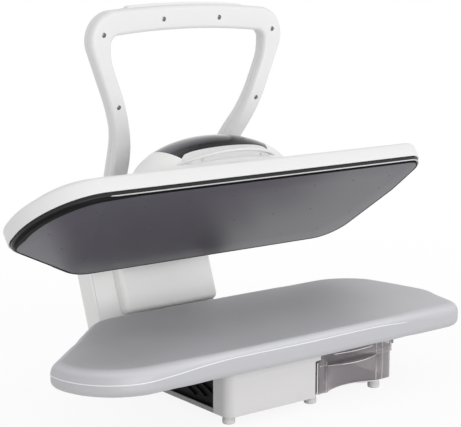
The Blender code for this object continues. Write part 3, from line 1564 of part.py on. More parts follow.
def make_tank(look, tank):
    """Clear tank with a scooped front and a pull lip, its lid, filler plug and outlet valve."""
    low = base_bottom + tray_sheet + touch_gap
    wall = tank_wall
    plan = rectangle(tank_left, base_front, tank_right, tank_back, tank_corner)
    body = piece("water_tank", prism(plan, low, tank_top), look["clear"], tank)
    cut(body, cutter("tank_scoop", prism(
        scoop_outline(scoop_left, scoop_right, base_front, scoop_depth), low - overrun, scoop_top), tank))
    inside = rectangle(tank_left + wall, base_front + wall, tank_right - wall, tank_back - wall,
                       tank_corner - wall)
    hollow = cutter("tank_hollow", prism(inside, low + wall, tank_top + overrun), tank)
    grown = prism(scoop_outline(scoop_left - wall, scoop_right + wall, base_front + wall, scoop_depth),
                  low - overrun, scoop_top + wall)
    cut(hollow, cutter("tank_scoop_grown", grown, tank))
    cut(body, hollow)
    lip = scoop_outline(scoop_left - wall, scoop_right + wall, base_front, lip_reach)
    flipped = lip[0].copy()
    flipped[:, 1] = 2 * base_front - flipped[:, 1]
    flipped[:, 1] = np.minimum(flipped[:, 1], base_front + wall / 2)
    lip_maker = prism((flipped, flipped * 0.0), scoop_top, scoop_top + lip_thickness)
    join(body, cutter("tank_lip", lip_maker, tank))

    top = rectangle(tank_left, base_front, tank_right, tank_back, tank_corner)
    lid_low = tank_top + touch_gap
    lid = piece("tank_lid", prism(top, lid_low, lid_low + tank_lid), look["clear"], tank)
    mouth = (filler_x, filler_y)
    cut(lid, cutter("filler_hole", rod(
        (*mouth, lid_low - overrun), (*mouth, tank_lid_top + overrun), filler_radius), tank))
    lid_face = lid_low + tank_lid
    place = (filler_x, filler_y, lid_face)
    piece("filler_plug", turned((
        (filler_radius - touch_gap, lid_low - lid_face - tank_lid), (filler_radius - touch_gap, touch_gap),
        (filler_radius + tank_lid, touch_gap), (filler_radius + tank_lid, filler_cap_edge),
        (filler_radius, filler_cap_height)), place, (0, 0, 1)), look["rubber"], tank, place)
    place = (valve_x, tank_back + touch_gap, valve_z)
    piece("outlet_valve", turned((
        (valve_radius, 0.0), (valve_radius, valve_collar), (valve_neck_radius, valve_length / 2),
        (valve_neck_radius, valve_length - touch_gap)), place, (0, 1, 0), hose_hole_steps),
        look["white"], tank, place)


def settle(smooth=30.0):
    """Applies every Boolean, shades the results and removes the cutters."""
    graph = bpy.context.evaluated_depsgraph_get()
    pieces = [thing for thing in bpy.data.objects if thing.type == "MESH" and not thing.hide_render]
    results = [(thing, bpy.data.meshes.new_from_object(thing.evaluated_get(graph)))
               for thing in pieces if thing.modifiers]
    for thing, mesh in results:
        thing.modifiers.clear()
        thing.data = mesh
        mesh.name = thing.name
        mesh.shade_smooth()
        mesh.set_sharp_from_angle(angle=math.radians(smooth))
    for thing in list(bpy.data.objects):
        if thing.hide_render:
            bpy.data.objects.remove(thing, do_unlink=True)


def rest_on_origin(press):
    """Moves the press so that the middle of its footprint, at its lowest level, is at the origin."""
    bpy.context.view_layer.update()
    graph = bpy.context.evaluated_depsgraph_get()
    low = np.full(3, np.inf)
    high = np.full(3, -np.inf)
    for thing in bpy.data.objects:
        if thing.type == "EMPTY":
            continue
        shown = thing.evaluated_get(graph)
        mesh = shown.to_mesh()
        places = np.array([shown.matrix_world @ spot.co for spot in mesh.vertices])
        shown.to_mesh_clear()
        low = np.minimum(low, places.min(axis=0))
        high = np.maximum(high, places.max(axis=0))
    press.location = (-(low[0] + high[0]) / 2, -(low[1] + high[1]) / 2, -low[2])
    bpy.context.view_layer.update()


def main():
    """Builds the press, open as it stands ready for cloth."""
    remove_everything()
    look = finishes()
    press = frame_empty("press", None, (0.0, 0.0, 0.0))
    tank = frame_empty("tank_slide", press, ((tank_left + tank_right) / 2, base_front, tank_top))
    head = frame_empty("lift_hinge", press, (0.0, hinge_y, hinge_z), -open_angle)
    column = frame_empty("column_frame", head, (0.0, hinge_y, hinge_z), column_lean)
    column["place"] = (0.0, 0.0, 0.0)
    buttons = []
    for index, (x, y) in enumerate(button_places()):
        buttons.append(frame_empty(f"button_slide_{index + 1}", head, (x, y, dome_height(x, y))))
    make_base(look, press)
    make_base_insides(look, press)
    make_board(look, press)
    make_tank(look, tank)
    make_hinge(look, press)
    make_springs(look, press)
    make_lift_arm(look, head)
    route = smooth_route(upper_hose_route(), route_steps)
    tube("upper_pressure_hose", route, hose_radius, look["hose"], head, 1)
    make_column(look, head, column)
    make_spine(look, head)
    make_head(look, head)
    make_control(look, head, buttons)
    make_handle(look, head)
    settle()
    rest_on_origin(press)


main()
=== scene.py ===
"""Steam ironing press: fine surfaces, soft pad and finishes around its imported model.

Sizes of the head are given as it lies closed on the board, with X to the right, Y to the back and Z up.
Their zero is the middle of the soleplate's front edge, on the face that presses.
"""

import math

import bmesh
import bpy
import numpy as np
from bpy.props import FloatProperty, FloatVectorProperty, PointerProperty
from bpy.types import Operator, Panel, PropertyGroup
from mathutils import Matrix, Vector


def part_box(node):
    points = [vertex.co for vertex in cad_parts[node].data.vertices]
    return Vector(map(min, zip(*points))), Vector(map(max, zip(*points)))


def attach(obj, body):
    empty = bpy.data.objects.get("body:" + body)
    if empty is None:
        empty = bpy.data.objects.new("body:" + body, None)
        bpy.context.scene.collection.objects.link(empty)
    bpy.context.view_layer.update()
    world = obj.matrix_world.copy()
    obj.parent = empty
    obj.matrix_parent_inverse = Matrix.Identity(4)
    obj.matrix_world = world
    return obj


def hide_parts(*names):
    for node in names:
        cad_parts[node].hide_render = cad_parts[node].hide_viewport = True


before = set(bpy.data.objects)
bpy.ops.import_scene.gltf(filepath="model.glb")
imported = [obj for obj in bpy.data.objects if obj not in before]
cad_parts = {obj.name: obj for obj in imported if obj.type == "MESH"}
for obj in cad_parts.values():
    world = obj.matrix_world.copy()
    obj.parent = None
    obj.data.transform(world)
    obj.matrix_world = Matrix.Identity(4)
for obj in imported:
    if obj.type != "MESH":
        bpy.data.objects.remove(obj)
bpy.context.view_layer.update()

bl_info = {
    "name": "Steam ironing press",
    "version": (1, 0, 0),
    "blender": (4, 5, 0),
    "location": "View3D > Sidebar > Press",
    "description": "Builds the visible surfaces and finishes of a steam ironing press",
    "category": "Object",
}

# Gaps between neighbouring pieces
touch_gap = 0.0003
overrun = 0.004

# Steps along curves
outline_steps = 20
edge_steps = 8
soft_steps = 12

# Outlines in plan: share of the length, share of the width, corner radius as a share of the width
plate_shares = (
    (0.0, 0.0, 0.373), (0.0, 0.491, 0.157), (0.236, 1.0, 0.305),
    (0.973, 1.0, 0.196), (1.0, 0.376, 0.260), (0.991, 0.0, 0.119),
)
board_shares = (
    (0.0, 0.0, 0.372), (0.0, 0.423, 0.100), (0.232, 1.0, 0.292),
    (0.947, 1.0, 0.319), (1.0, 0.369, 0.250), (0.962, 0.0, 0.117),
)


# Settings

groups = {}


def settings(kind):
    """Turns a class's rows into properties, and keeps the class among the groups of settings.

    A row gives a value, what it is, and its unit or subtype where it isn't a length.
    """
    rows = {key: row for key, row in vars(kind).items() if isinstance(row, tuple) and key[0] != "_"}
    kind.__annotations__ = {}
    for key, (value, text, *own) in rows.items():
        delattr(kind, key)
        given = {"name": key.replace("_", " ").capitalize(), "description": text, "default": value}
        if isinstance(value, tuple):
            kind.__annotations__[key] = FloatVectorProperty(size=3, subtype=own[0], **given)
        else:
            kind.__annotations__[key] = FloatProperty(unit=own[0] if own else "LENGTH", precision=4, **given)
    groups[kind.__name__.removeprefix("Press").lower()] = kind
    return kind


@settings
class PressHinge(PropertyGroup):
    """Where the head turns on the base."""
    depth = (0.3347, "Depth of the hinge axis behind the soleplate's front edge")
    height = (-0.0515, "Height of the hinge axis over the pressing face")
    opened = (math.radians(36.68), "How far the head stands open", "ROTATION")
    lean = (math.radians(16.7), "How far the column leans in the closed head", "ROTATION")


@settings
class PressBoard(PropertyGroup):
    """The padded board."""
    length = (0.6507, "Length of the padded board")
    width = (0.2435, "Width of the padded board")
    left_margin = (0.0044, "How far the board stands out to the left of the soleplate")
    front_margin = (0.0040, "How far the board stands out in front of the soleplate")
    thickness = (0.0375, "Height of the board from its underside to its crown")
    end_radius = (0.017, "Radius of the padded upper edge at both ends")
    front_radius = (0.0085, "Radius of the padded upper edge between the ends")
    bottom_radius = (0.010, "Radius of the wrapped lower edge")
    crown = (0.0018, "How far the middle of the pad stands over its shoulder")
    wrap = (0.016, "How far the cloth reaches in under the board")
    cloth = (0.0013, "Thickness of the cloth")
    foam = (0.012, "Thickness of the foam under the cloth")
    swell = (0.0010, "How far the pad's top may swell from its cut shape")
    side_swell = (0.0003, "How far the pad's sides may swell from their cut shape")
    voxel = (0.0045, "Size of the faces on which the swelling is worked out")
    reach = (0.009, "Distance over which the swelling is evened out")
    pressure = (4.0, "Pressure inside the pad as it swells", "NONE")
    seam = (0.0008, "Radius of the seam round the board's shoulder")
    hem = (0.00075, "Radius of the elastic hem")
    gathers = (0.0042, "Distance between the gathers of the elastic hem")
    spacing = (0.0035, "Distance between places round the board's outline")


@settings
class PressHead(PropertyGroup):
    """The heated head."""
    length = (0.640, "Length of the soleplate")
    width = (0.233, "Width of the soleplate")
    thickness = (0.010, "Thickness of the soleplate")
    chamfer = (0.0015, "Rounding of the soleplate's lower edge")
    steam_hole = (0.001, "Radius of a steam hole")
    steam_inset = (0.036, "How far the row of steam holes lies inside the edge")
    steam_spacing = (0.072, "Distance between steam holes")
    skirt_grow = (0.0046, "How far the black skirt stands out past the soleplate")
    skirt_low = (0.0028, "Height of the black skirt's lower edge")
    skirt_high = (0.0185, "Height of the black skirt's upper edge")
    skirt_seat = (0.007, "How far the black skirt reaches in over the soleplate")
    nose_lip = (0.0075, "How far the black lip reaches in under the soleplate's left end")
    # The bead is a light metal ring along the black skirt's lower edge, a painted highlight of that edge.
    bead = (0.0010, "Radius of the polished rim")
    rim_grow = (0.008, "How far the white rim stands out past the soleplate")
    rim_bottom = (0.008, "Height of the white rim's lower edge")
    rim_top = (0.031, "Height of the white rim's upper edge")
    rim_radius = (0.006, "Radius of the rim's upper edge")
    wall = (0.0025, "Thickness of the moulded walls")
    plateau_inset = (0.026, "How far the flat top lies inside the rim")
    plateau = (0.044, "Height of the flat top")
    gate_half = (0.0541, "Half the width of the opening for the lift arm")
    gate_front = (0.0954, "Front of the opening in the shell for the lift arm")
    gate_back = (0.1466, "Back of the opening in the shell for the lift arm")
    gate_top = (0.0686, "Top of the opening in the housing for the lift arm")


@settings
class PressControl(PropertyGroup):
    """The control housing on the head, its dark cover, brow and buttons."""
    depth = (0.085, "Depth of the housing's middle")
    half_length = (0.135, "Half the length of the housing")
    half_width = (0.062, "Half the width of the housing")
    height = (0.071, "Height of the housing over the flat top")
    floor = (0.01988, "Height of the cover's seat over the housing's foot")
    window_half = (0.088, "Half the length of the dark cover")
    window_front = (0.0270, "Front edge of the dark cover")
    window_back = (0.1340, "Back edge of the dark cover")
    window_corner = (0.040, "Corner radius of the dark cover in plan")
    brow_half = (0.089, "Half the length of the white brow")
    brow_end = (0.041, "Depth of the brow's ends")
    brow_front = (0.010, "Depth of the brow's front")
    brow_low = (0.0550, "Lower edge of the brow's rim")
    brow_rim = (0.0580, "Upper edge of the brow's rim")
    brow_top = (0.0735, "Height at which the brow leaves the housing")
    brow_bottom = (0.0510, "Height at which the brow's underside meets the housing")
    brow_screw = (0.0020, "Radius of a screw under the brow")
    screw_across = (0.0500, "How far the brow's screws lie from its middle")
    screw_depth = (0.0245, "Depth of the brow's screws")
    button_radius = (0.0070, "Radius of a push button")
    button_edge = (0.0012, "Rounding of a button's upper edge")
    button_flange = (0.0014, "How far a button's flange stands out")
    button_stem = (0.0025, "Radius of a button's hollow stem")
    button_foot = (0.0927, "Height of the lower end of a button's stem")
    button_lift = (0.0022, "How far a button stands over the cover")
    button_depth = (0.096, "Depth of the row of buttons")
    button_pitch = (0.031, "Distance between buttons")


@settings
class PressHandle(PropertyGroup):
    """The handle loop."""
    top_depth = (-0.0135, "Depth of the grip bar")
    top_height = (0.2783, "Height of the grip bar")
    knee_depth = (0.0790, "Depth of the bend in the legs")
    knee_height = (0.1636, "Height of the bend in the legs")
    knee_radius = (0.140, "Radius of the bend in the legs")
    cross_bar = (0.1133, "Height of the cross bar over the hinge axis, along the column")
    thickness = (0.024, "Thickness of the handle")
    edge = (0.0056, "Rounding of the handle's edges")
    wall = (0.0025, "Thickness of the handle's walls")
    grip_half = (0.104, "Half the length of the grip pad")
    ridge_half = (0.098, "Half the length of the grip pad's ridge")
    grip_ridge = (0.0022, "How far the grip pad stands up past the grip bar's top edge")
    screw = (0.0026, "Radius of a screw head")
    screw_dome = (0.0012, "Height of a screw head's dome")
    recess = (0.0034, "Radius of a screw's recess")
    recess_depth = (0.0020, "How deep a screw head lies")


@settings
class PressColumn(PropertyGroup):
    """The proud box on the column's face."""
    front = (0.0115, "How far the column's face lies before the hinge axis")
    box_left = (-0.066, "Left edge of the proud box")
    box_right = (0.100, "Right edge of the proud box")
    box_bottom = (0.0165, "Lower edge of the proud box")
    box_top = (0.1022, "Upper edge of the proud box")
    box_proud = (0.018, "How far the box stands out of the column's face")
    box_corner = (0.009, "Radius of the box's corners")
    box_edge = (0.007, "Rounding of the box's face")
    wall = (0.0022, "Thickness of the box's walls")


@settings
class PressTank(PropertyGroup):
    """The water tank."""
    left = (0.055, "Left side of the tank")
    right = (0.193, "Right side of the tank")
    front = (0.030, "Front of the tank")
    back = (0.165, "Back of the tank")
    bottom = (-0.1020, "Underside of the tank")
    top = (-0.0560, "Upper edge of the tank")
    plate_top = (-0.0414, "Upper edge of the tank's front plate")
    plate_inset = (0.0065, "How far the front plate's ends lie inside the sides")
    wall = (0.0020, "Thickness of the tank's walls")
    corner = (0.006, "Radius of the tank's corners")
    soft = (0.0016, "Rounding of the tank's lower edge")
    scoop_left = (0.072, "Left end of the finger scoop")
    scoop_right = (0.163, "Right end of the finger scoop")
    scoop_depth = (0.012, "Depth of the finger scoop")
    scoop_top = (-0.0642, "Height of the scoop's roof")
    lip_reach = (0.0105, "How far the pull lip stands out")
    lip_height = (0.0022, "Thickness of the pull lip")
    # The tank's light lines are near-white beads that paint the highlights along its edges.
    bead = (0.0006, "Radius of the light lines in the tank's edges")
    broad_bead = (0.0010, "Radius of the upright light lines in the tank's right half")


@settings
class PressBase(PropertyGroup):
    """The feet, and the lip over the front fascia."""
    foot_edge = (0.0018, "Rounding of a foot's lower edge")
    lip_proud = (0.0019, "How far the lip stands out over the fascia")
    lip_drop = (0.0100, "How far the lip reaches down from the fascia's top")
    lip_corner = (0.014, "Radius of the lip's front left corner")
    lip_tight = (0.0025, "Radius of the lip's front right corner")


@settings
class PressColours(PropertyGroup):
    """Colours of the finishes."""
    white = ((0.82, 0.82, 0.815), "Moulded white plastic", "COLOR")
    # Painted shade: the handle's, the shell's and the base's whites are darker copies of the white plastic
    # above, each set to the tone its part shows under the lamps; the base's is also a little warmer.
    handle_white = ((0.72, 0.72, 0.72), "White plastic of the handle", "COLOR")
    shell_white = ((0.73, 0.73, 0.73), "White plastic of the head's shell and brow", "COLOR")
    base_white = ((0.62, 0.61, 0.61), "White plastic of the base, a little warmer", "COLOR")
    black = ((0.018, 0.018, 0.019), "Moulded black plastic", "COLOR")
    smoke = ((0.018, 0.018, 0.022), "Dark cover over the controls", "COLOR")
    sole = ((0.080, 0.075, 0.092), "Dark coating of the soleplate", "COLOR")
    cloth = ((0.56, 0.56, 0.585), "Heat-reflecting cloth of the board", "COLOR")
    steel = ((0.56, 0.56, 0.57), "Bare steel", "COLOR")
    tank = ((0.33, 0.30, 0.315), "Smoked clear plastic of the water tank", "COLOR")
    # Painted highlight: the near-white of the beads along the tank's edges.
    tank_edge = ((0.92, 0.90, 0.91), "Light that gathers in the tank's edges", "COLOR")


@settings
class PressStage(PropertyGroup):
    """Lamps, floor and camera."""
    sky = (0.80, "Strength of the even light from all round", "NONE")
    top = (1.0, "Power of the large lamp above", "POWER")
    front = (24.0, "Power of the lamp in front", "POWER")
    side = (4.0, "Power of the lamp at the right", "POWER")
    focal = (109.61, "Focal length in millimetres", "NONE")
    camera_place = ((-1.15827, -1.55389, 0.60512), "Where the camera stands", "TRANSLATION")
    camera_down = (math.radians(10.42), "How far the camera looks down", "ROTATION")
    camera_turn = (math.radians(37.53), "How far the camera is turned to the right", "ROTATION")


class PressSettings(PropertyGroup):
    """Every group of settings of the press."""
    __annotations__ = {
        name: PointerProperty(type=kind, name=name.capitalize()) for name, kind in groups.items()
    }


# Outlines and grids

def arcs(corners, radii, steps):
    """Arcs at the corners of a polygon, and their outward directions, one row a corner.

    An arc's centre lies on its corner's bisector, at the radius over the sine of half the corner's
    angle, and the arc runs between that centre's feet on the two sides.
    """
    corners = np.asarray(corners, float)
    radii = np.asarray(radii, float)[:, None]
    last = np.roll(corners, 1, axis=0)
    before = last - corners
    after = np.roll(corners, -1, axis=0) - corners
    before /= np.linalg.norm(before, axis=1)[:, None]
    after /= np.linalg.norm(after, axis=1)[:, None]
    signed = np.sum(last[:, 0] * corners[:, 1] - last[:, 1] * corners[:, 0])
    turn = before[:, 0] * after[:, 1] - before[:, 1] * after[:, 0]
    side = np.where(turn * signed < 0, 1.0, -1.0)
    half = (np.arccos(np.clip(np.sum(before * after, axis=1), -1.0, 1.0)) / 2)[:, None]
    middle = before + after
    middle /= np.linalg.norm(middle, axis=1)[:, None]
    centre = corners + middle * radii / np.sin(half)
    start = corners + before * radii / np.tan(half) - centre
    end = corners + after * radii / np.tan(half) - centre
    first = np.arctan2(start[:, 1], start[:, 0])
    sweep = np.arctan2(start[:, 0] * end[:, 1] - start[:, 1] * end[:, 0], np.sum(start * end, axis=1))
    angle = first[:, None] + sweep[:, None] * np.linspace(0.0, 1.0, steps + 1)
    way = np.stack((np.cos(angle), np.sin(angle)), axis=-1)
    return centre[:, None] + radii[:, :, None] * way, way * side[:, None, None]


def rounded(corners, radii, steps):
    """Points and outward directions round a polygon with arcs at its corners."""
    points, outward = arcs(corners, radii, steps)
    return points.reshape(-1, 2), outward.reshape(-1, 2)


def shared_outline(shares, length, width, left, front, steps):
    """An outline whose corners and radii are shares of its length and width."""
    table = np.array(shares)
    corners = np.column_stack((left + table[:, 0] * length, front + table[:, 1] * width))
    return rounded(corners, table[:, 2] * width, steps)


def rectangle(left, front, right, back, radius, steps=edge_steps):
    """A rectangle with four equal round corners."""
    return rounded(((left, front), (left, back), (right, back), (right, front)), [radius] * 4, steps)


def stack(outline, levels):
    """A grid of rings: each level moves the outline outwards, draws it to its middle and lifts it."""
    points, outward = outline
    table = np.array([(*level, 0.0)[:3] for level in levels])
    moved = points[None] + outward[None] * table[:, 0, None, None]
    middle = moved.mean(axis=1, keepdims=True)
    moved = moved + (middle - moved) * table[:, 2, None, None]
    height = np.broadcast_to(table[:, 1, None, None], (*moved.shape[:2], 1))
    return np.concatenate((moved, height), axis=2)


def blended(outline, first, second, part):
    """A grid of rings between two lists of levels: each place takes its own part of the first."""
    part = part[None, :, None]
    return stack(outline, first) * part + stack(outline, second) * (1 - part)


def full_turn(steps):
    """Angles round a circle, without the one that closes it."""
    return np.linspace(0.0, 2 * math.pi, steps, endpoint=False)


def lower_edge(out, bottom, radius, steps):
    """Levels of a quarter round, from an underside out to an upright side."""
    angle = np.linspace(0.0, math.pi / 2, steps)
    return np.column_stack((out - radius * (1 - np.sin(angle)), bottom + radius * (1 - np.cos(angle))))


def upper_edge(out, top, radius, steps, fall=None):
    """Levels of a quarter round, from an upright side in to a top. Its fall may differ from its radius."""
    angle = np.linspace(0.0, math.pi / 2, steps)
    return np.column_stack((out - radius * (1 - np.cos(angle)), top - (fall or radius) * (1 - np.sin(angle))))


def eased(part):
    """A share from 0 to 1 that starts and ends softly: three squares less two cubes."""
    return part * part * (3 - 2 * part)


def fading(distance, end, stretch):
    """1 near zero, falling to 0 at an end over a stretch before it."""
    return np.clip((end - distance) / stretch, 0.0, 1.0)


def run_of(line):
    """Distance along a line of points to each of them."""
    return np.concatenate(((0.0,), np.cumsum(np.linalg.norm(np.diff(line, axis=0), axis=1))))


def read_off(at, run, line):
    """What a line of points or directions is at distances along it."""
    return np.column_stack([np.interp(at, run, line[:, axis]) for axis in (0, 1)])


def spaced(points, count):
    """Evenly spaced places along a line of points, with its start and without its end."""
    points = np.asarray(points, float)
    run = run_of(points)
    return read_off(run[-1] * np.arange(count) / count, run, points)


def resampled(outline, spacing):
    """An outline with places at even distances, and their outward directions."""
    points, outward = [np.vstack((some, some[:1])) for some in outline]
    run = run_of(points)
    at = np.linspace(0.0, run[-1], round(run[-1] / spacing), endpoint=False)
    sides = read_off(at, run, outward)
    return read_off(at, run, points), sides / np.linalg.norm(sides, axis=1)[:, None]


def line_at(line, height):
    """A line in plan, lifted to a height, or to one height a place."""
    return np.column_stack((line, np.broadcast_to(height, len(line))))


def turned(profile, centre, steps=32):
    """A grid: a profile of (radius, height) turned about an upright axis through a centre."""
    table = np.asarray(profile, float)
    angle = full_turn(steps)
    across = table[:, 0, None] * np.cos(angle)
    deep = table[:, 0, None] * np.sin(angle)
    up = np.broadcast_to(table[:, 1, None], across.shape)
    return np.stack((across, deep, up), axis=-1) + np.asarray(centre)


def block(low, high):
    """A grid: a box between two corners."""
    plan = np.array(((low[0], low[1]), (high[0], low[1]), (high[0], high[1]), (low[0], high[1])))
    return stack((plan, plan * 0.0), ((0.0, low[2]), (0.0, high[2])))


def rod_along(path, radius, across, steps=10):
    """A grid: a round tube along a path, its rings square to it and turned to one direction."""
    path = np.asarray(path, float)
    way = np.gradient(path, axis=0)
    way /= np.linalg.norm(way, axis=1)[:, None]
    side = np.broadcast_to(np.asarray(across, float), path.shape)
    side = side - way * np.sum(side * way, axis=1)[:, None]
    side = side / np.linalg.norm(side, axis=1)[:, None]
    other = np.cross(way, side)
    turn = full_turn(steps)
    ring = side[:, None] * np.cos(turn)[None, :, None] + other[:, None] * np.sin(turn)[None, :, None]
    return path[:, None] + radius * ring


def skin(grid, wrap_rows=False):
    """Places and faces of a grid whose columns close on themselves: four neighbours make a face.

    The first and last rows get a cap, unless the rows close on themselves too.
    """
    rows, columns = grid.shape[:2]
    number = np.arange(rows * columns).reshape(rows, columns)
    if wrap_rows:
        number = np.vstack((number, number[:1]))
    number = np.hstack((number, number[:, :1]))
    faces = np.stack((number[:-1, :-1], number[:-1, 1:], number[1:, 1:], number[1:, :-1]), axis=-1)
    faces = faces.reshape(-1, 4).tolist()
    if not wrap_rows:
        faces += [number[0, :-1].tolist(), number[-1, :-1].tolist()]
    return grid.reshape(-1, 3), faces


def mesh_of(name, skins, smooth=35.0):
    """One mesh of several skins, with doubles merged, faces outwards and sharp edges kept."""
    places = np.vstack([points for points, _ in skins])
    offsets = np.cumsum([0] + [len(points) for points, _ in skins])
    faces = [[number + start for number in face] for (_, some), start in zip(skins, offsets) for face in some]
    mesh = bpy.data.meshes.new(name)
    mesh.from_pydata(places.tolist(), [], faces)
    work = bmesh.new()
    work.from_mesh(mesh)
    bmesh.ops.remove_doubles(work, verts=work.verts, dist=1e-7)
    bmesh.ops.recalc_face_normals(work, faces=work.faces)
    work.to_mesh(mesh)
    work.free()
    mesh.shade_smooth()
    mesh.set_sharp_from_angle(angle=math.radians(smooth))
    return mesh


def add_object(name, mesh):
    """An object at the origin with its place in its mesh."""
    thing = bpy.data.objects.new(name, mesh)
    bpy.context.scene.collection.objects.link(thing)
    return thing


def piece(name, *skins, smooth=35.0):
    """An object with one mesh of several skins."""
    return add_object(name, mesh_of(name, skins, smooth))


def applied(thing, smooth=35.0):
    """Puts what an object's modifiers make into its mesh, and removes the modifiers."""
    bpy.context.view_layer.update()
    graph = bpy.context.evaluated_depsgraph_get()
    result = bpy.data.meshes.new_from_object(thing.evaluated_get(graph))
    thing.modifiers.clear()
    thing.data = result
    result.shade_smooth()
    result.set_sharp_from_angle(angle=math.radians(smooth))


def skin_of(thing):
    """Places and faces of an object's mesh, as a skin."""
    mesh = thing.data
    places = np.empty(len(mesh.vertices) * 3)
    mesh.vertices.foreach_get("co", places)
    return places.reshape(-1, 3), [list(face.vertices) for face in mesh.polygons]


def carve(thing, skins, operation="DIFFERENCE", solver="EXACT", smooth=35.0):
    """Cuts a piece with closed skins and keeps the result."""
    tool = piece("carving_tool", *skins)
    step = thing.modifiers.new("carve", "BOOLEAN")
    step.operation = operation
    step.solver = solver
    step.object = tool
    applied(thing, smooth)
    bpy.data.objects.remove(tool)


# Places

def press_shift(press):
    """From the closed press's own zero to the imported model's: both know the hinge pin's middle."""
    low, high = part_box("hinge_pin")
    return np.array((low + high) / 2) - np.array((0.0, press.hinge.depth, press.hinge.height))


def on_base(press, grid):
    """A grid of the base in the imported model's frame."""
    return grid + press_shift(press)


def on_head(press, grid):
    """A grid of the closed head, turned open about the hinge axis."""
    cosine, sine = math.cos(press.hinge.opened), math.sin(press.hinge.opened)
    back = grid[..., 1] - press.hinge.depth
    up = grid[..., 2] - press.hinge.height
    turned_back = press.hinge.depth + back * cosine + up * sine
    turned_up = press.hinge.height - back * sine + up * cosine
    return np.stack((grid[..., 0], turned_back, turned_up), axis=-1) + press_shift(press)


def on_column(press, grid):
    """A grid of the column: its depth is out from the hinge axis and its height along its lean."""
    cosine, sine = math.cos(press.hinge.lean), math.sin(press.hinge.lean)
    depth = press.hinge.depth + grid[..., 1] * cosine - grid[..., 2] * sine
    height = press.hinge.height + grid[..., 1] * sine + grid[..., 2] * cosine
    return on_head(press, np.stack((grid[..., 0], depth, height), axis=-1))


def plate_outline(head, steps=outline_steps):
    """The soleplate's outline. Its front is at depth zero, and its middle at zero across."""
    return shared_outline(plate_shares, head.length, head.width, -head.length / 2, 0.0, steps)


def board_outline(press):
    """The padded board's outline."""
    board = press.board
    left = -press.head.length / 2 - board.left_margin
    return shared_outline(board_shares, board.length, board.width, left, -board.front_margin, outline_steps)


# Materials

class Wire:
    """A socket used like a number: each operator adds a Math node."""

    def __init__(self, tree, socket):
        self.tree = tree
        self.socket = socket

    def maths(self, operation, *values):
        """One Math node."""
        node = self.tree.nodes.new("ShaderNodeMath")
        node.operation = operation
        for slot, value in zip(node.inputs, values):
            plug(self.tree, slot, value)
        return Wire(self.tree, node.outputs[0])

    def __add__(self, other):
        return self.maths("ADD", self, other)

    def __sub__(self, other):
        return self.maths("SUBTRACT", self, other)

    def __rsub__(self, other):
        return self.maths("SUBTRACT", other, self)

    def __mul__(self, other):
        return self.maths("MULTIPLY", self, other)

    def __truediv__(self, other):
        return self.maths("DIVIDE", self, other)

    def __gt__(self, other):
        return self.maths("GREATER_THAN", self, other)

    __radd__ = __add__
    __rmul__ = __mul__

    def sine(self):
        """The sine of the value."""
        return self.maths("SINE", self)

    def held(self, low, high):
        """The value kept between two limits."""
        return self.maths("MINIMUM", self.maths("MAXIMUM", self, low), high)


def plug(tree, slot, value):
    """Links a wire to a socket, or sets the socket's own value."""
    if isinstance(value, Wire):
        tree.links.new(value.socket, slot)
    elif slot.type == "RGBA" and len(value) == 3:
        slot.default_value = (*value, 1.0)
    else:
        slot.default_value = value


class Finish:
    """One material: a Principled shader and the nodes that vary it over the surface."""

    def __init__(self, name, colour, roughness, **constants):
        self.material = bpy.data.materials.new(name)
        self.material.use_nodes = True
        self.tree = self.material.node_tree
        self.shader = self.tree.nodes["Principled BSDF"]
        self.colour = colour
        self.roughness = roughness
        self.set("Base Color", colour)
        self.set("Roughness", roughness)
        for key, value in constants.items():
            self.set(key.replace("_", " "), value)

    def set(self, key, value):
        """Sets or links one socket of the shader."""
        plug(self.tree, self.shader.inputs[key], value)

    def node(self, kind, settings=None, inputs=None, output=0):
        """Any node: its settings first, then the values or links of its sockets."""
        node = self.tree.nodes.new(kind)
        for key, value in (settings or {}).items():
            setattr(node, key, value)
        for key, value in (inputs or {}).items():
            plug(self.tree, node.inputs[key], value)
        return Wire(self.tree, node.outputs[output])

    def head_place(self, press):
        """Depth and height of the place in the closed head, worked back from the open one."""
        _, deep, tall = self.axes()
        shift = press_shift(press)
        cosine, sine = math.cos(press.hinge.opened), math.sin(press.hinge.opened)
        back = deep - (press.hinge.depth + shift[1])
        up = tall - (press.hinge.height + shift[2])
        return back * cosine - up * sine + press.hinge.depth, back * sine + up * cosine + press.hinge.height

    def place(self, stretch=(1.0, 1.0, 1.0)):
        """The place on the object, stretched along its axes."""
        here = self.node("ShaderNodeTexCoord", output="Object")
        return self.node("ShaderNodeMapping", None, {"Vector": here, "Scale": stretch})

    def axes(self):
        """The three coordinates of the place on the object."""
        here = self.node("ShaderNodeTexCoord", output="Object")
        return [self.node("ShaderNodeSeparateXYZ", None, {"Vector": here}, output) for output in range(3)]

    def noise(self, scale, detail=2.0, stretch=(1.0, 1.0, 1.0)):
        """Cloudy noise of a scale, between 0 and 1."""
        return self.node("ShaderNodeTexNoise", None,
                         {"Vector": self.place(stretch), "Scale": scale, "Detail": detail})

    def mix(self, low, high, factor):
        """A colour between two others."""
        return self.node("ShaderNodeMix", {"data_type": "RGBA"}, {0: factor, 6: low, 7: high}, 2)

    def shades(self, low, high, factor):
        """The finish's colour between two strengths of itself, none over 1."""
        return self.mix(*[[min(1.0, value * part) for value in self.colour] for part in (low, high)], factor)

    def vary(self, cloud, colour_span, roughness_span):
        """Lets colour and roughness drift a little with a cloud between 0 and 1."""
        self.set("Base Color", self.shades(1 - colour_span, 1 + colour_span, cloud))
        self.set("Roughness", (self.roughness + (cloud - 0.5) * 2 * roughness_span).held(0.02, 1.0))

    def bump(self, height, depth):
        """Raises the surface by a height between 0 and 1 times a depth in metres."""
        inputs = {"Height": height, "Distance": depth, "Strength": 1.0}
        self.set("Normal", self.node("ShaderNodeBump", None, inputs, "Normal"))


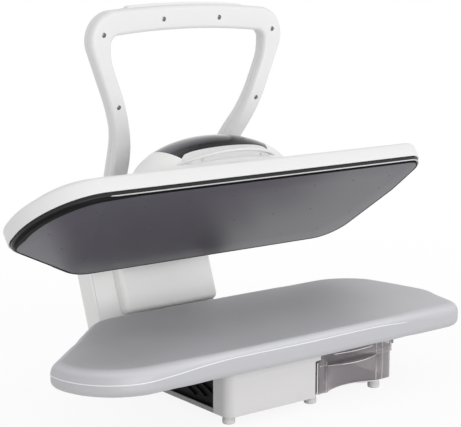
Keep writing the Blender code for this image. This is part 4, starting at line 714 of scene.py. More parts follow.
def grained(name, colour, roughness, cloud, spans, grain, depth, **constants):
    """A finish whose tone and gloss drift with a cloud, and whose relief is a grain or that same cloud."""
    look = Finish(name, colour, roughness, **constants)
    drift = look.noise(*cloud)
    look.vary(drift, *spans)
    look.bump(look.noise(*grain) if grain else drift, depth)
    return look.material


def moulded(name, colour, roughness, grain=1500.0, depth=0.00003, **constants):
    """Moulded plastic: a fine spark grain, and a slow drift of gloss and tone."""
    return grained(name, colour, roughness, (7.0, 3.0), (0.012, 0.04), (grain, 1.0), depth, **constants)


def brushed(name, colour, roughness, stretch):
    """Metal with fine lines along one axis."""
    return grained(name, colour, roughness, (60.0, 4.0, stretch), (0.08, 0.10), None, 0.00005, Metallic=1.0)


def coated_sole(name, colour):
    """Soleplate coating: satin dark enamel with fine light specks and a fine grain."""
    look = Finish(name, colour, 0.33, IOR=1.5)
    cloud = look.noise(9.0, 3.0)
    cells = look.node("ShaderNodeTexVoronoi", None, {"Vector": look.place(), "Scale": 620.0}, "Distance")
    specks = 1.0 - (cells > 0.13)
    bright = [min(1.0, value * 2.1) for value in colour]
    look.set("Base Color", look.mix(look.shades(0.94, 1.06, cloud), bright, specks * 0.35))
    look.set("Roughness", 0.30 + cloud * 0.06 + specks * 0.1)
    look.bump(look.noise(1100.0, 2.0), 0.00003)
    return look.material


def smoked(name, colour, press):
    """Dark glossy cover: a mirror coat on its top, whose colour is lighter there as a painted reflection, and
    a darker matt band in front, over the display.
    """
    look = Finish(name, colour, 0.16, Specular_IOR_Level=0.10, Coat_Roughness=0.10)
    smears = look.noise(14.0, 4.0)
    depth, _ = look.head_place(press)
    # Painted reflection: on the top the colour rises to 3.6 times the cover's; the band in front, over the
    # display, takes half of it.
    top = ((depth - 0.034 + (smears - 0.5) * 0.006) / 0.014).held(0.0, 1.0)
    look.set("Base Color", look.shades(0.5, 3.6, top))
    look.set("Coat Weight", 0.12 + top * 0.78)
    look.set("Roughness", 0.14 + smears * 0.06)
    look.bump(look.noise(40.0, 1.0), 0.00002)
    return look.material


def silver_cloth(name, colour, shoulder=-1.0, side=1.0):
    """Heat-reflecting cloth: a plain weave with a metal coat, a little cloudy, with painted shade below the
    shoulder.
    """
    look = Finish(name, colour, 0.46, Metallic=0.30)
    x, y, z = look.axes()
    pitch = 2 * math.pi / 0.0011
    weave = ((x + z) * pitch).sine() * ((y + z) * pitch).sine() * 0.5 + 0.5
    slub = look.noise(90.0, 2.0, (1.0, 8.0, 8.0))
    tone = look.noise(11.0, 4.0) * 0.6 + slub * 0.25 + weave * 0.15
    # Painted shade: below the shoulder's height the colour falls to the side factor times the cloth's colour.
    above = ((z - shoulder) / 0.004 + 0.5).held(0.0, 1.0)
    painted_shade_colour = [value * side for value in colour]
    look.set("Base Color", look.mix(painted_shade_colour, look.shades(0.86, 1.12, tone), above))
    look.set("Roughness", 0.40 + tone * 0.14)
    look.bump(weave * 0.7 + slub * 0.5, 0.00010)
    return look.material


def clear_plastic(name, colour, roughness, cover):
    """Clear moulded plastic, too thin to bend what is behind it, and denser at its rims."""
    look = Finish(name, colour, roughness, IOR=1.46)
    flow = look.noise(18.0, 3.0)
    look.vary(flow, 0.10, 0.03)
    slant = look.node("ShaderNodeLayerWeight", None, {"Blend": 0.35}, "Facing")
    look.set("Alpha", (cover + slant * 0.35 + (flow - 0.5) * 0.10).held(0.0, 1.0))
    look.bump(look.noise(30.0, 1.0), 0.00008)
    return look.material


def circuit(name, colour):
    """Circuit board: lacquer over a maze of copper tracks."""
    look = Finish(name, colour, 0.42)
    maze = look.node("ShaderNodeTexBrick", None, {"Vector": look.place(), "Scale": 90.0, "Mortar Size": 0.05},
                     "Fac")
    look.set("Base Color", look.mix(colour, [min(1.0, value * 1.9 + 0.02) for value in colour], maze))
    look.set("Roughness", 0.40 + maze * 0.15)
    look.bump(maze, 0.00006)
    return look.material


finishes = {}


def make_finishes(press):
    """Every finish of the press."""
    if finishes:
        return
    colours = press.colours
    # Height under which the pad's cloth gets its painted shade.
    shoulder = press_shift(press)[2] - 0.0095
    cast = ((420.0, 4.0), (0.10, 0.08), None, 0.00012)
    dusty = ((140.0, 4.0), (0.09, 0.08), None, 0.00010)
    milky = ((60.0, 3.0), (0.05, 0.08), (500.0, 1.0), 0.00004)
    finishes.update({
        "white": moulded("satin_white_plastic", colours.white, 0.38),
        # Painted shade: darker copies of the white plastic for the handle, the head's shell and the base.
        "handle_white": moulded("handle_white_plastic", colours.handle_white, 0.36),
        "shell_white": moulded("shell_white_plastic", colours.shell_white, 0.38),
        "base_white": moulded("base_white_plastic", colours.base_white, 0.42),
        "button": moulded("button_plastic", colours.white, 0.30),
        "black": moulded("black_plastic", colours.black, 0.42),
        "skirt": moulded("glossy_black_skirt", colours.black, 0.20, depth=0.00001, Specular_IOR_Level=0.24),
        "chassis": moulded("textured_black_plastic", (0.005, 0.005, 0.005), 0.55, 700.0, 0.00008,
                           Specular_IOR_Level=0.12),
        "tray": moulded("tray_plastic", (0.30, 0.30, 0.31), 0.5),
        "mark": moulded("printed_grey", (0.25, 0.25, 0.26), 0.5),
        "pump": moulded("pump_plastic", (0.32, 0.32, 0.33), 0.48),
        "steel": brushed("brushed_steel", colours.steel, 0.34, (1.0, 14.0, 14.0)),
        "spring": brushed("spring_steel", colours.steel, 0.28, (14.0, 1.0, 1.0)),
        "screw": brushed("screw_steel", (0.28, 0.28, 0.29), 0.36, (1.0, 1.0, 14.0)),
        # Painted highlight: light metal for the bead that stands in for the highlight on the skirt's lower
        # edge.
        "rim": brushed("polished_rim_metal", (0.60, 0.60, 0.61), 0.30, (1.0, 1.0, 8.0)),
        "cast": grained("cast_aluminium", (0.55, 0.55, 0.56), 0.50, *cast, Metallic=1.0),
        "rubber": grained("grey_rubber", (0.66, 0.66, 0.65), 0.78, *dusty),
        "hose": grained("silicone_hose", (0.78, 0.76, 0.72), 0.50, *milky, Subsurface_Weight=0.2,
                        Subsurface_Scale=0.002),
        "smoke": smoked("smoked_cover", colours.smoke, press),
        "sole": coated_sole("soleplate_coating", colours.sole),
        # Painted shade: 0.86 of the cloth's colour below the shoulder.
        "cloth": silver_cloth("silver_cloth", colours.cloth, shoulder, 0.86),
        # Painted highlight: the seam's cloth is lighter than the pad's, for the bright line along the
        # shoulder.
        "seam": silver_cloth("seam_cloth", (0.78, 0.78, 0.80)),
        "tank": clear_plastic("smoked_tank_plastic", colours.tank, 0.07, 0.40),
        # Painted highlight: near-white, nearly opaque plastic for the beads along the tank's edges.
        "tank_edge": clear_plastic("tank_edge_plastic", colours.tank_edge, 0.15, 0.88),
        "green": circuit("circuit_board", (0.03, 0.20, 0.09)),
    })


node_finishes = {
    "white": "column_front_cover column_rear_cover spine_cover",
    "base_white": "front_fascia board_carrier outlet_valve",
    "chassis": "chassis",
    "black": "hinge_bush_left hinge_bush_right cord_gland",
    "tray": "base_tray",
    "steel": "hinge_bracket hinge_pin lift_arm cross_bar handle_core board_pan heating_element",
    "spring": "lift_spring_left lift_spring_right",
    "cast": "steam_chamber_lid thermostat",
    "tank": "tank_lid",
    "rubber": "filler_plug tank_coupling",
    "green": "control_board power_board",
    "pump": "water_pump",
    "hose": "supply_hose lower_pressure_hose upper_pressure_hose",
}


def dress(thing, finish, body, *nodes, slot):
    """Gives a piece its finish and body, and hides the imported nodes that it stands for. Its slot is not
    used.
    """
    thing.data.materials.clear()
    thing.data.materials.append(finishes[finish])
    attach(thing, body)
    if nodes:
        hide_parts(*nodes)


class PressOperator:
    """Runs a maker on the scene's settings. An error in it stops the script."""
    bl_options = {"REGISTER", "UNDO"}

    def execute(self, context):
        """Makes the pieces."""
        press = context.scene.press
        make_finishes(press)
        self.build(press)
        return {"FINISHED"}


# The padded board

press_gap = 0.0005
seam_row = 3 + soft_steps

# How far the rounder edges reach from the left end, the right end and the front, and how softly they end
left_reach = (0.223, 0.163)
right_reach = (0.190, 0.140)
front_reach = (0.140, 0.080)

# Settings of the cloth simulation that swells the pad
pad_cloth = {
    "quality": 5, "mass": 0.3, "tension_stiffness": 25.0, "compression_stiffness": 25.0,
    "shear_stiffness": 12.0, "bending_stiffness": 3.0, "use_pressure": True,
}


def end_shares(press, points):
    """How far a place belongs to the board's left and right end, from 0 to 1, each eased in."""
    board = press.board
    left = -press.head.length / 2 - board.left_margin
    from_left = points[:, 0] - left
    return eased(fading(from_left, *left_reach)), eased(fading(board.length - from_left, *right_reach))


def pad_levels(board, side, up, top_radius):
    """Levels of the padded board's side: under the wrap, round the lower edge, up and over the shoulder.

    The whole form is smaller than the finished pad by the room that it swells into, at its sides and its top.
    """
    shoulder = -press_gap - board.crown - up
    bottom = -board.thickness + side
    rise = lower_edge(-side, bottom, board.bottom_radius, soft_steps)
    turn = upper_edge(-side, shoulder, top_radius, soft_steps + 4)
    draw = np.linspace(0.05, 0.95, 16)
    crown = shoulder + board.crown * (1 - (1 - draw) ** 2.0)
    top = np.column_stack((np.full(draw.shape, -side - top_radius), crown, draw))
    under = [(-side - board.wrap * part, bottom) for part in (3.0, 2.0, 1.0)]
    return [*under, *rise, *turn, *top]


def swollen(board, form):
    """Works out the swelling with the Cloth modifier under pressure: coarse places and how far each moves."""
    thing = piece("swelling_pad", skin(form))
    remesh = thing.modifiers.new("remesh", "REMESH")
    remesh.mode = "VOXEL"
    remesh.voxel_size = board.voxel
    applied(thing, 180.0)
    start, _ = skin_of(thing)
    cloth = thing.modifiers.new("swell", "CLOTH").settings
    for key, value in pad_cloth.items():
        setattr(cloth, key, value)
    cloth.uniform_pressure_force = board.pressure
    cloth.effector_weights.gravity = 0.0
    scene = bpy.context.scene
    for number in range(1, 21):
        scene.frame_set(number)
    applied(thing, 180.0)
    end, _ = skin_of(thing)
    scene.frame_set(1)
    bpy.data.objects.remove(thing)
    move = end - start
    side = np.linalg.norm(move[:, :2], axis=1, keepdims=True)
    move[:, :2] *= np.minimum(1.0, board.side_swell / np.maximum(side, 1e-9))
    move[:, 2] = np.clip(move[:, 2], -board.side_swell, board.swell)
    return start, move


def carried(form, places, moves, reach):
    """Moves for a grid's places: the mean of the coarse moves, weighed by a bell curve of distance."""
    rings = []
    for ring in form:
        apart = np.sum(ring ** 2, axis=1)[:, None] + np.sum(places ** 2, axis=1) - 2 * ring @ places.T
        weight = np.exp(-apart / reach ** 2)
        rings.append(weight @ moves / np.sum(weight, axis=1, keepdims=True))
    return np.stack(rings)


def hem_grid(board, outline):
    """The elastic hem: a small tube along the wrap's inner edge, thick and thin where it gathers."""
    points, outward = outline
    line = points - outward * (board.wrap + press_gap)
    angle = full_turn(10)
    ripple = board.hem * (1 + 0.22 * np.sin(run_of(line) / board.gathers * 2 * math.pi))[:, None]
    across = line[:, None] + outward[:, None] * (ripple * np.cos(angle))[..., None]
    height = -board.thickness + 0.0012 + ripple * np.sin(angle)
    return np.concatenate((across, height[..., None]), axis=2)


class PRESS_OT_board(PressOperator, Operator):
    """Makes the padded board: silver cloth over foam, wrapped round the pan and held by an elastic hem."""
    bl_idname = "press.board"
    bl_label = "Padded board"

    def build(self, press):
        board = press.board
        outline = board_outline(press)
        line, outward = resampled(outline, board.spacing)
        side, up = ((board.side_swell, board.swell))
        left, right = end_shares(press, line)
        ahead = fading(line[:, 1], *front_reach)
        form = on_base(press, blended(
            (line, outward), pad_levels(board, side, up, board.end_radius),
            pad_levels(board, side, up, board.front_radius), left + right * (0.25 + 0.55 * ahead)))
        form = form + carried(form, *swollen(board, form), board.reach)
        pad = piece("board_pad", skin(form), smooth=60.0)
        cloth = board.cloth
        pan_top = -press_gap - board.crown - cloth - board.foam - touch_gap
        bottom = -board.thickness + cloth
        inset = -board.bottom_radius
        core = [(-board.wrap, -board.thickness - overrun), (-board.wrap, bottom), (inset, bottom),
                (-cloth - 0.0029, bottom + 0.0026), (-cloth, bottom + board.bottom_radius - cloth),
                (-cloth, pan_top - 0.002), (-cloth - 0.002, pan_top)]
        carve(pad, [skin(on_base(press, stack(outline, core)))], solver="MANIFOLD", smooth=50.0)
        dress(pad, "cloth", "base", "board_cover", "foam_pad", slot="cloth")

        # The seam: a real ridge round the shoulder, whose lighter cloth is a painted highlight.
        turn = full_turn(10)
        thick = (board.seam * (1 - 0.85 * right))[:, None]
        out = (np.cos(turn) * thick - (board.seam * (0.35 + 0.9 * right))[:, None])[..., None]
        rise = (np.sin(turn) * thick)[..., None]
        ways = line_at(outward, 0.0)[:, None]
        ring = form[seam_row][:, None] + ways * out + np.array((0.0, 0.0, 1.0)) * rise
        dress(piece("board_seam", skin(ring, True)), "seam", "base", slot="cloth")
        hem = hem_grid(board, resampled(outline, 0.0008))
        dress(piece("board_hem", skin(on_base(press, hem), True)), "cloth", "base", slot="cloth")


# The heated head

def steam_hole_places(head):
    """Places of the steam holes: a row inside the soleplate's edge and a row along its middle."""
    points, outward = plate_outline(head, 8)
    row = points - outward * head.steam_inset
    closed = np.vstack((row, row[:1]))
    edge = spaced(closed, round(run_of(closed)[-1] / head.steam_spacing))
    reach = head.length / 2 - 3 * head.steam_inset
    count = round(2 * reach / head.steam_spacing)
    middle = -reach + 2 * reach * (np.arange(count) + 0.5) / count
    return np.vstack((edge, np.column_stack((middle, np.full(count, head.width / 2)))))


def bead_levels(radius, out, high):
    """Levels round a small bead that stands out from an outline."""
    return [(out + radius * math.cos(angle), high + radius * math.sin(angle)) for angle in full_turn(16)]


class PRESS_OT_soleplate(PressOperator, Operator):
    """Makes the coated soleplate with its steam holes, and the black skirt round it."""
    bl_idname = "press.soleplate"
    bl_label = "Soleplate and skirt"

    def build(self, press):
        head = press.head
        outline = plate_outline(head)
        levels = [*lower_edge(0.0, 0.0, head.chamfer, 6), (0.0, head.thickness)]
        plate = piece("coated_soleplate", skin(on_head(press, stack(outline, levels))))
        bore = head.steam_hole
        mouth = bore + 0.0003
        profile = ((mouth, -overrun), (mouth, 0.0), (bore, 0.0004), (bore, head.thickness + overrun))
        holes = [turned(profile, (x, y, 0.0), 20) for x, y in steam_hole_places(head)]
        carve(plate, [skin(on_head(press, hole)) for hole in holes])
        dress(plate, "sole", "head", "soleplate", slot="sole")

        even = resampled(outline, 0.003)
        from_end = even[0][:, 0] + head.length / 2
        hidden = fading(from_end, 0.100, 0.040)
        nose = fading(from_end, 0.135, 0.100) * fading(even[0][:, 1], 0.120, 0.030)
        # A light metal bead along the skirt's lower edge, a painted highlight; it thins towards the left end.
        bead = bead_levels(head.bead, head.skirt_grow - head.bead, 0.0027)
        rim = blended(even, bead_levels(0.0004, 0.0025, 0.0060), bead, hidden)
        dress(piece("polished_rim", skin(on_head(press, rim), True)), "rim", "head", slot="steel")
        under, over, top = -0.0002, 0.0004, 0.0042
        wide, narrow = [
            ((out, top), (out, 0.0030), (0.0010, under), (reach, under), (reach, over), (0.0006, top))
            for out, reach in ((0.0042, -head.nose_lip), (0.0012, 0.0004))]
        lip = blended(even, wide, narrow, nose)
        dress(piece("skirt_lip", skin(on_head(press, lip), True)), "chassis", "head", slot="black")

        seat = head.thickness + touch_gap
        grow, low, high, inner = head.skirt_grow, head.skirt_low, head.skirt_high, -head.skirt_seat
        tight = 0.0003
        section = rounded(((touch_gap, low), (grow, low), (grow, high), (inner, high), (inner, seat),
                           (touch_gap, seat)), (0.0004, 0.0015, 0.0006, tight, tight, tight), 6)[0]
        skirt = piece("black_skirt", skin(on_head(press, stack(outline, section)), True))
        dress(skirt, "skirt", "head", "skirt", slot="black")


class PRESS_OT_head_shell(PressOperator, Operator):
    """Makes the white shell over the soleplate: a round rim, a sloping shoulder and a flat top."""
    bl_idname = "press.head_shell"
    bl_label = "Head shell"

    def build(self, press):
        head = press.head
        wall, grow, radius = head.wall, head.rim_grow, head.rim_radius
        top, low = head.rim_top, head.rim_bottom
        outer = upper_edge(grow, top, radius, edge_steps + 2)
        inner = upper_edge(grow - wall, top - wall, radius - wall, edge_steps + 2)
        slope = np.linspace(0.0, 1.0, 9)[1:]
        reach = grow - radius + head.plateau_inset
        shoulder = np.column_stack((grow - radius - reach * slope,
                                    top + (head.plateau - top) * (0.45 * slope + 0.55 * eased(slope))))
        inside, outside = grow - wall - 0.0005, grow - 0.0005
        lip = rounded(((inside, low + 0.004), (inside, low), (outside, low), (outside, low + 0.004)),
                      (0.0002, 0.0009, 0.0009, 0.0002), 4)[0][5:-5]
        under = np.column_stack((shoulder[::-1, 0], shoulder[::-1, 1] - wall))
        levels = np.vstack((under, inner[::-1], lip, outer, shoulder))
        form = on_head(press, stack(plate_outline(head), levels))
        shell = piece("white_head_shell", skin(form), smooth=40.0)
        gate = block((-head.gate_half, head.gate_front, head.plateau - wall - overrun),
                     (head.gate_half, head.gate_back, head.plateau + overrun))
        carve(shell, [skin(on_head(press, gate))], smooth=40.0)
        dress(shell, "shell_white", "head", "head_shell", slot="white")


# The control housing

def dome_grid(control, head, grow, foot, around=96, up=28):
    """Half an ellipsoid on the head's flat top: rings of the cosine, at heights of the sine."""
    base = head.plateau + touch_gap
    angle = np.linspace(0.0, math.pi / 2, up + 1)[:-1]
    shrink = np.concatenate(((1.0,), np.cos(angle))) if foot < base else np.cos(angle)
    height = base + (control.height + grow) * np.sin(angle)
    if foot < base:
        height = np.concatenate(((foot,), height))
    turn = full_turn(around)
    across = (control.half_length + grow) * shrink[:, None] * np.cos(turn)
    deep = control.depth + (control.half_width + grow) * shrink[:, None] * np.sin(turn)
    return np.stack((across, deep, np.broadcast_to(height[:, None], across.shape)), axis=-1)


def dome_height(control, head, x, y, grow=0.0):
    """Height of the housing over a place in plan."""
    across = x / (control.half_length + grow)
    deep = (y - control.depth) / (control.half_width + grow)
    return head.plateau + touch_gap + (control.height + grow) * math.sqrt(1 - across ** 2 - deep ** 2)


def dome_front(control, head, x, z):
    """Depth of the housing's front at places across and heights."""
    rise = (z - head.plateau - touch_gap) / control.height
    return control.depth - control.half_width * np.sqrt(1 - rise ** 2 - (x / control.half_length) ** 2)


def window_plan(control, grow):
    """The dark cover's outline in plan."""
    half = control.window_half + grow
    return rectangle(-half, control.window_front - grow, half, control.window_back + grow,
                     control.window_corner + grow, 16)


def button_places(control):
    """Places of the four push buttons in plan."""
    return [((number - 1.5) * control.button_pitch, control.button_depth) for number in range(4)]


class PRESS_OT_housing(PressOperator, Operator):
    """Makes the control housing, its dark cover with four openings, and the white brow in front."""
    bl_idname = "press.housing"
    bl_label = "Control housing"

    def build(self, press):
        control, head = press.control, press.head
        base = head.plateau + touch_gap
        wall = head.wall
        floor = base + control.floor
        tall = base + control.height + overrun

        def dome(grow, foot):
            return skin(on_head(press, dome_grid(control, head, grow, foot)))

        def tower(grow, low):
            return skin(on_head(press, stack(window_plan(control, grow), ((0.0, low), (0.0, tall)))))

        housing = piece("control_dome", dome(0.0, base))
        gate = block((-head.gate_half, control.depth, base - overrun),
                     (head.gate_half, control.depth + control.half_width + overrun, head.gate_top))
        for tool in (dome(-wall, base - overrun), tower(touch_gap, floor), skin(on_head(press, gate))):
            carve(housing, [tool])
        dress(housing, "white", "head", "control_housing", slot="white")

        cover = piece("smoked_dome", dome(0.0, base))
        carve(cover, [tower(0.0, floor + touch_gap)], "INTERSECT")
        carve(cover, [dome(-wall, base - overrun)])
        around = control.button_radius + touch_gap
        opening = ((around, 0.089), (around, tall))
        openings = [turned(opening, (x, y, 0.0), 40) for x, y in button_places(control)]
        carve(cover, [skin(on_head(press, form)) for form in openings])
        dress(cover, "smoke", "head", "control_cover", slot="smoke")

        brow = piece("white_brow", skin(on_head(press, brow_grid(control, head))), smooth=50.0)
        carve(brow, [dome(touch_gap, head.plateau)], smooth=50.0)
        dress(brow, "shell_white", "head", "visor", slot="white")
        screw = screw_grid(control.brow_screw, control.brow_screw / 2)
        for number, side in enumerate((-1, 1), 1):
            seat = np.array(((side * control.screw_across, control.screw_depth, control.brow_low - 0.0016),
                             (1.0, 0.0, 0.0), (0.0, -0.97, 0.25), (0.0, -0.25, -0.97)))
            thing = piece(f"brow_screw_{number}", skin(on_head(press, in_frame(seat, screw))), smooth=60.0)
            dress(thing, "shell_white", "head", slot="white")


def brow_grid(control, head, steps=80):
    """The brow: a rounded section that slopes from the housing out to a rim on an arc in plan."""
    half = control.brow_half
    sagitta = control.brow_end - control.brow_front
    radius = (half ** 2 + sagitta ** 2) / (2 * sagitta)
    part = np.linspace(-1.0, 1.0, steps + 1)
    angle = math.asin(half / radius) * part
    x = radius * np.sin(angle)
    y = control.brow_front + radius - radius * np.cos(angle)
    under, crest = control.brow_low, control.brow_rim
    root = np.full(x.shape, control.brow_bottom)
    top = crest + (control.brow_top - crest) * (1 - part ** 8)
    high = dome_front(control, head, x, top)
    low = dome_front(control, head, x, root)
    nose = 0.0007
    lip = 0.0024
    recess = 0.0016
    rows = [(y + lip + 2 * nose, under + recess), (y + lip + nose, under + recess - nose / 2),
            (y + lip, under + nose), (y + lip - nose / 2, under)]
    rows += [(y + nose + nose * np.cos(a), under + nose + nose * np.sin(a))
             for a in np.linspace(-math.pi / 2, -math.pi, 5)]
    rows += [(y + nose - nose * np.cos(a), crest - nose + nose * np.sin(a))
             for a in np.linspace(0.0, math.pi / 2, 5)]
    start = y + 4.0 * nose
    dent = crest - nose * 0.9
    rows += [(y + 2.2 * nose, crest), (y + 2.6 * nose, dent), (y + 3.4 * nose, dent), (start, crest)]
    rows += [(start + (high - start) * sag, crest + (top - crest) * sag)
             for sag in np.linspace(0.0, 1.0, 8)[1:]]
    rows += [(high + 0.006, top), (low + 0.006, root), (low, root)]
    return np.stack([np.stack((x, depth, np.broadcast_to(height, x.shape)), axis=-1)
                     for depth, height in rows], axis=1)


def stroke(line, width, low, high):
    """A grid: a flat bar of a width along a line in plan, between two heights."""
    line = np.asarray(line, float)
    way = np.gradient(line, axis=0)
    way /= np.linalg.norm(way, axis=1)[:, None]
    side = np.column_stack((-way[:, 1], way[:, 0])) * width / 2
    left, right = line + side, line - side
    corners = ((left, low), (right, low), (right, high), (left, high))
    return np.stack([line_at(*corner) for corner in corners], axis=1)


def symbol_lines(name, radius):
    """Lines of a button's sign: power ring and bar, minus, plus, or three waves of steam."""
    reach = radius * 0.45
    across = np.linspace(-reach, reach, 9)
    flat = np.column_stack((across, across * 0.0))
    upright = flat[:, ::-1]
    if name == "power":
        turn = np.linspace(math.radians(125), math.radians(415), 33)
        return [np.column_stack((np.cos(turn), np.sin(turn))) * reach, upright * 0.5 + (0.0, reach * 0.65)]
    if name == "cooler":
        return [flat]
    if name == "hotter":
        return [flat, upright]
    run = np.linspace(-reach, reach, 25)
    wave = np.column_stack((np.sin(run / reach * math.pi) * reach * 0.18, run))
    return [wave + (shift * reach * 0.62, 0.0) for shift in (-1.0, 0.0, 1.0)]


class PRESS_OT_buttons(PressOperator, Operator):
    """Makes the four push buttons and the plain sign on each."""
    bl_idname = "press.buttons"
    bl_label = "Buttons"

    def build(self, press):
        control, head = press.control, press.head
        radius, edge, stem = control.button_radius, control.button_edge, control.button_stem
        flange = radius + control.button_flange
        part = np.linspace(1.0, 0.06, 10)[1:]
        for name, (x, y) in zip(("power", "cooler", "hotter", "steam"), button_places(control)):
            top = dome_height(control, head, x, y) + control.button_lift
            high = dome_height(control, head, abs(x) + flange, y + flange, -head.wall) - 0.0012
            crown = upper_edge(radius, top, edge, 7)
            dish = np.column_stack(((radius - edge) * part, top - 0.0003 * (1 - part ** 2)))
            low = high - 0.0014
            lower = np.array(((stem, control.button_foot), (stem, low), (flange, low), (flange, high),
                              (radius, high)))
            form = on_head(press, turned(np.vstack((lower, crown, dish)), (x, y, 0.0), 48))
            dress(piece(f"button_cap_{name}", skin(form), smooth=50.0),
                  "button", f"button_{name}", f"button_{name}", slot="white")
            bars = [skin(on_head(press, stroke(line + (x, y), 0.0008, top - 0.0008, top + 0.00012)))
                    for line in symbol_lines(name, radius)]
            dress(piece(f"button_sign_{name}", *bars), "mark", f"button_{name}", slot="grey")


# The handle

root_half, inner_root_half = 0.0865, 0.0620
outer_bends = ((0.1106, 0.190, 0.230), (0.181, 0.008, 0.0405))
inner_bends = ((0.0790, 0.205, 0.230), (0.1308, 0.073, 0.060), (0.1315, 0.0395, 0.013))
inner_top = 0.033
bow_share = 0.25


def handle_side(press):
    """The handle in side view: straight grip, a bend at the knee, and a straight run to the cross bar."""
    handle, hinge = press.handle, press.hinge
    bar = np.array((hinge.depth - handle.cross_bar * math.sin(hinge.lean),
                    hinge.height + handle.cross_bar * math.cos(hinge.lean)))
    top = np.array((handle.top_depth, handle.top_height))
    knee = np.array((handle.knee_depth, handle.knee_height))
    to_top = (top - knee) / np.linalg.norm(top - knee)
    to_bar = (bar - knee) / np.linalg.norm(bar - knee)
    half = math.acos(float(to_top @ to_bar)) / 2
    run = handle.knee_radius / math.tan(half)
    arc = handle.knee_radius * (math.pi - 2 * half)
    length = float(np.linalg.norm(top - knee) + np.linalg.norm(bar - knee)) - 2 * run + arc
    return top, knee, to_top, to_bar, run, arc, length


def bent(press, across, drop, out):
    """Places on the handle: across, down its side path, and out along the path's upward normal."""
    top, knee, to_top, to_bar, run, arc, _ = handle_side(press)
    radius = press.handle.knee_radius
    first = float(np.linalg.norm(top - knee)) - run
    grip_normal = np.array((to_top[1], -to_top[0]))
    leg_normal = np.array((-to_bar[1], to_bar[0]))
    start = knee + to_top * run
    centre = start + grip_normal * radius
    away = start - centre
    angle = np.clip(drop - first, 0.0, arc) / radius
    spun = np.stack((away[0] * np.cos(angle) - away[1] * np.sin(angle),
                     away[0] * np.sin(angle) + away[1] * np.cos(angle)), axis=-1)
    before = (drop < first)[..., None]
    beyond = (drop > first + arc)[..., None]
    straight = top - to_top * drop[..., None]
    onward = knee + to_bar * (run + drop - first - arc)[..., None]
    place = np.where(before, straight, np.where(beyond, onward, centre + spun))
    normal = np.where(before, grip_normal, np.where(beyond, leg_normal, -spun / radius))
    side = place + normal * out[..., None]
    return np.concatenate((across[..., None], side), axis=-1)

def half_outline(root, bends, top):
    """Right half of an outline of the loop, with equal counts of places on each of its stretches."""
    mirror = (-bends[-1][0], bends[-1][1], 0.0)
    table = np.array((mirror, root, *bends, top))
    bows, _ = arcs(table[:, :2], table[:, 2], 40)
    bows = bows[2:-1]
    waist, corner = bows[0], bows[-1]
    shoulder = bows[1] if len(bends) == 3 else bows[1][:1]
    middle = np.array(top[:2])
    last = corner[-1]
    part = np.linspace(0.0, 1.0, 40)[:, None]
    bow = np.array((0.0, (middle[1] - last[1]) * bow_share))
    arch = last + (middle - last) * part + bow * np.sin(math.pi * part)
    return np.vstack((
        spaced((table[1, :2], waist[0]), 8), spaced(waist, 16), spaced(np.vstack((waist[-1:], shoulder)), 14),
        spaced(np.vstack((shoulder[-1:], corner)), 34), spaced(arch, 16), middle[None]))


def loop_outlines(press, end):
    """Outer and inner outline of the loop, from the left root round to the right."""
    outer = half_outline((root_half, end, 0.0), outer_bends, (0.0, 0.0, 0.0))
    inner = half_outline((inner_root_half, end, 0.0), inner_bends, (0.0, inner_top, 0.0))
    flip = np.array((-1.0, 1.0))
    return [np.vstack((half * flip, half[::-1][1:])) for half in (outer, inner)]


def handle_grid(press, upper):
    """One shell of the handle: a rounded trough carried round the loop and ended on the column's face."""
    handle = press.handle
    half = handle.thickness / 2
    wall = handle.wall
    reference = 0.04
    split = touch_gap / 2
    corners = ((0.0, -split), (0.0, -half), (reference, -half), (reference, -split),
               (reference - wall, -split), (reference - wall, -half + wall), (wall, -half + wall),
               (wall, -split))
    soft = handle.edge
    tight = 0.0004
    section = rounded(corners, (tight, soft, soft, tight, tight, soft - wall, soft - wall, tight), 6)[0]
    *_, length = handle_side(press)
    outer, inner = loop_outlines(press, length - 0.022)
    across = inner - outer
    width = np.linalg.norm(across, axis=1)[:, None]
    from_outer = section[:, 0] < reference / 2
    part = np.where(from_outer, section[:, 0] / width, 1 + (section[:, 0] - reference) / width)
    spots = outer[:, None] + across[:, None] * part[..., None]
    out = np.broadcast_to(section[:, 1] * (-1.0 if upper else 1.0), part.shape)
    grid = bent(press, spots[..., 0], spots[..., 1], out)
    return np.concatenate((root_ring(press, grid[0], grid[1])[None], grid,
                           root_ring(press, grid[-1], grid[-2])[None]))


def root_ring(press, ring, next_ring):
    """A ring's places carried straight on to the column's face."""
    hinge = press.hinge
    face = -press.column.front - touch_gap
    cosine, sine = math.cos(hinge.lean), math.sin(hinge.lean)
    way = (ring - next_ring) / np.linalg.norm(ring - next_ring, axis=1)[:, None]
    now = (ring[:, 1] - hinge.depth) * cosine + (ring[:, 2] - hinge.height) * sine
    step = way[:, 1] * cosine + way[:, 2] * sine
    return ring + way * ((face - now) / step)[:, None]
def leg_middle(press, drop):
    """Half width between the middles of the two legs, at a distance down the path."""
    *_, length = handle_side(press)
    outer, inner = loop_outlines(press, length)
    core = ((outer + inner) / 2)[:len(outer) // 2 + 1]
    order = np.argsort(core[:, 1])
    return float(np.interp(drop, core[order, 1], np.abs(core[order, 0])))


def screw_spots(press):
    """Half width and drop of the handle's screws: grip bar, corner and leg."""
    corner = outer_bends[1]
    leg = 0.135
    return ((0.0475, inner_top * 0.56), (corner[0] - 0.0365, corner[1] + 0.0295),
            (leg_middle(press, leg), leg))


def screw_frame(press, x, drop, depth):
    """Middle and three directions of a screw sunk in the handle's lower face."""
    half = press.handle.thickness / 2
    values = [np.array((value,)) for value in (x, drop, -half + depth)]
    middle = bent(press, *values)[0]
    outer = bent(press, values[0], values[1], values[2] - 0.001)[0]
    way = (outer - middle) / np.linalg.norm(outer - middle)
    across = np.array((1.0, 0.0, 0.0))
    return middle, across, np.cross(way, across), way


def in_frame(spot_frame, grid):
    """A grid drawn about zero, moved into a screw's frame."""
    middle, *ways = spot_frame
    return middle + grid @ np.array(ways)


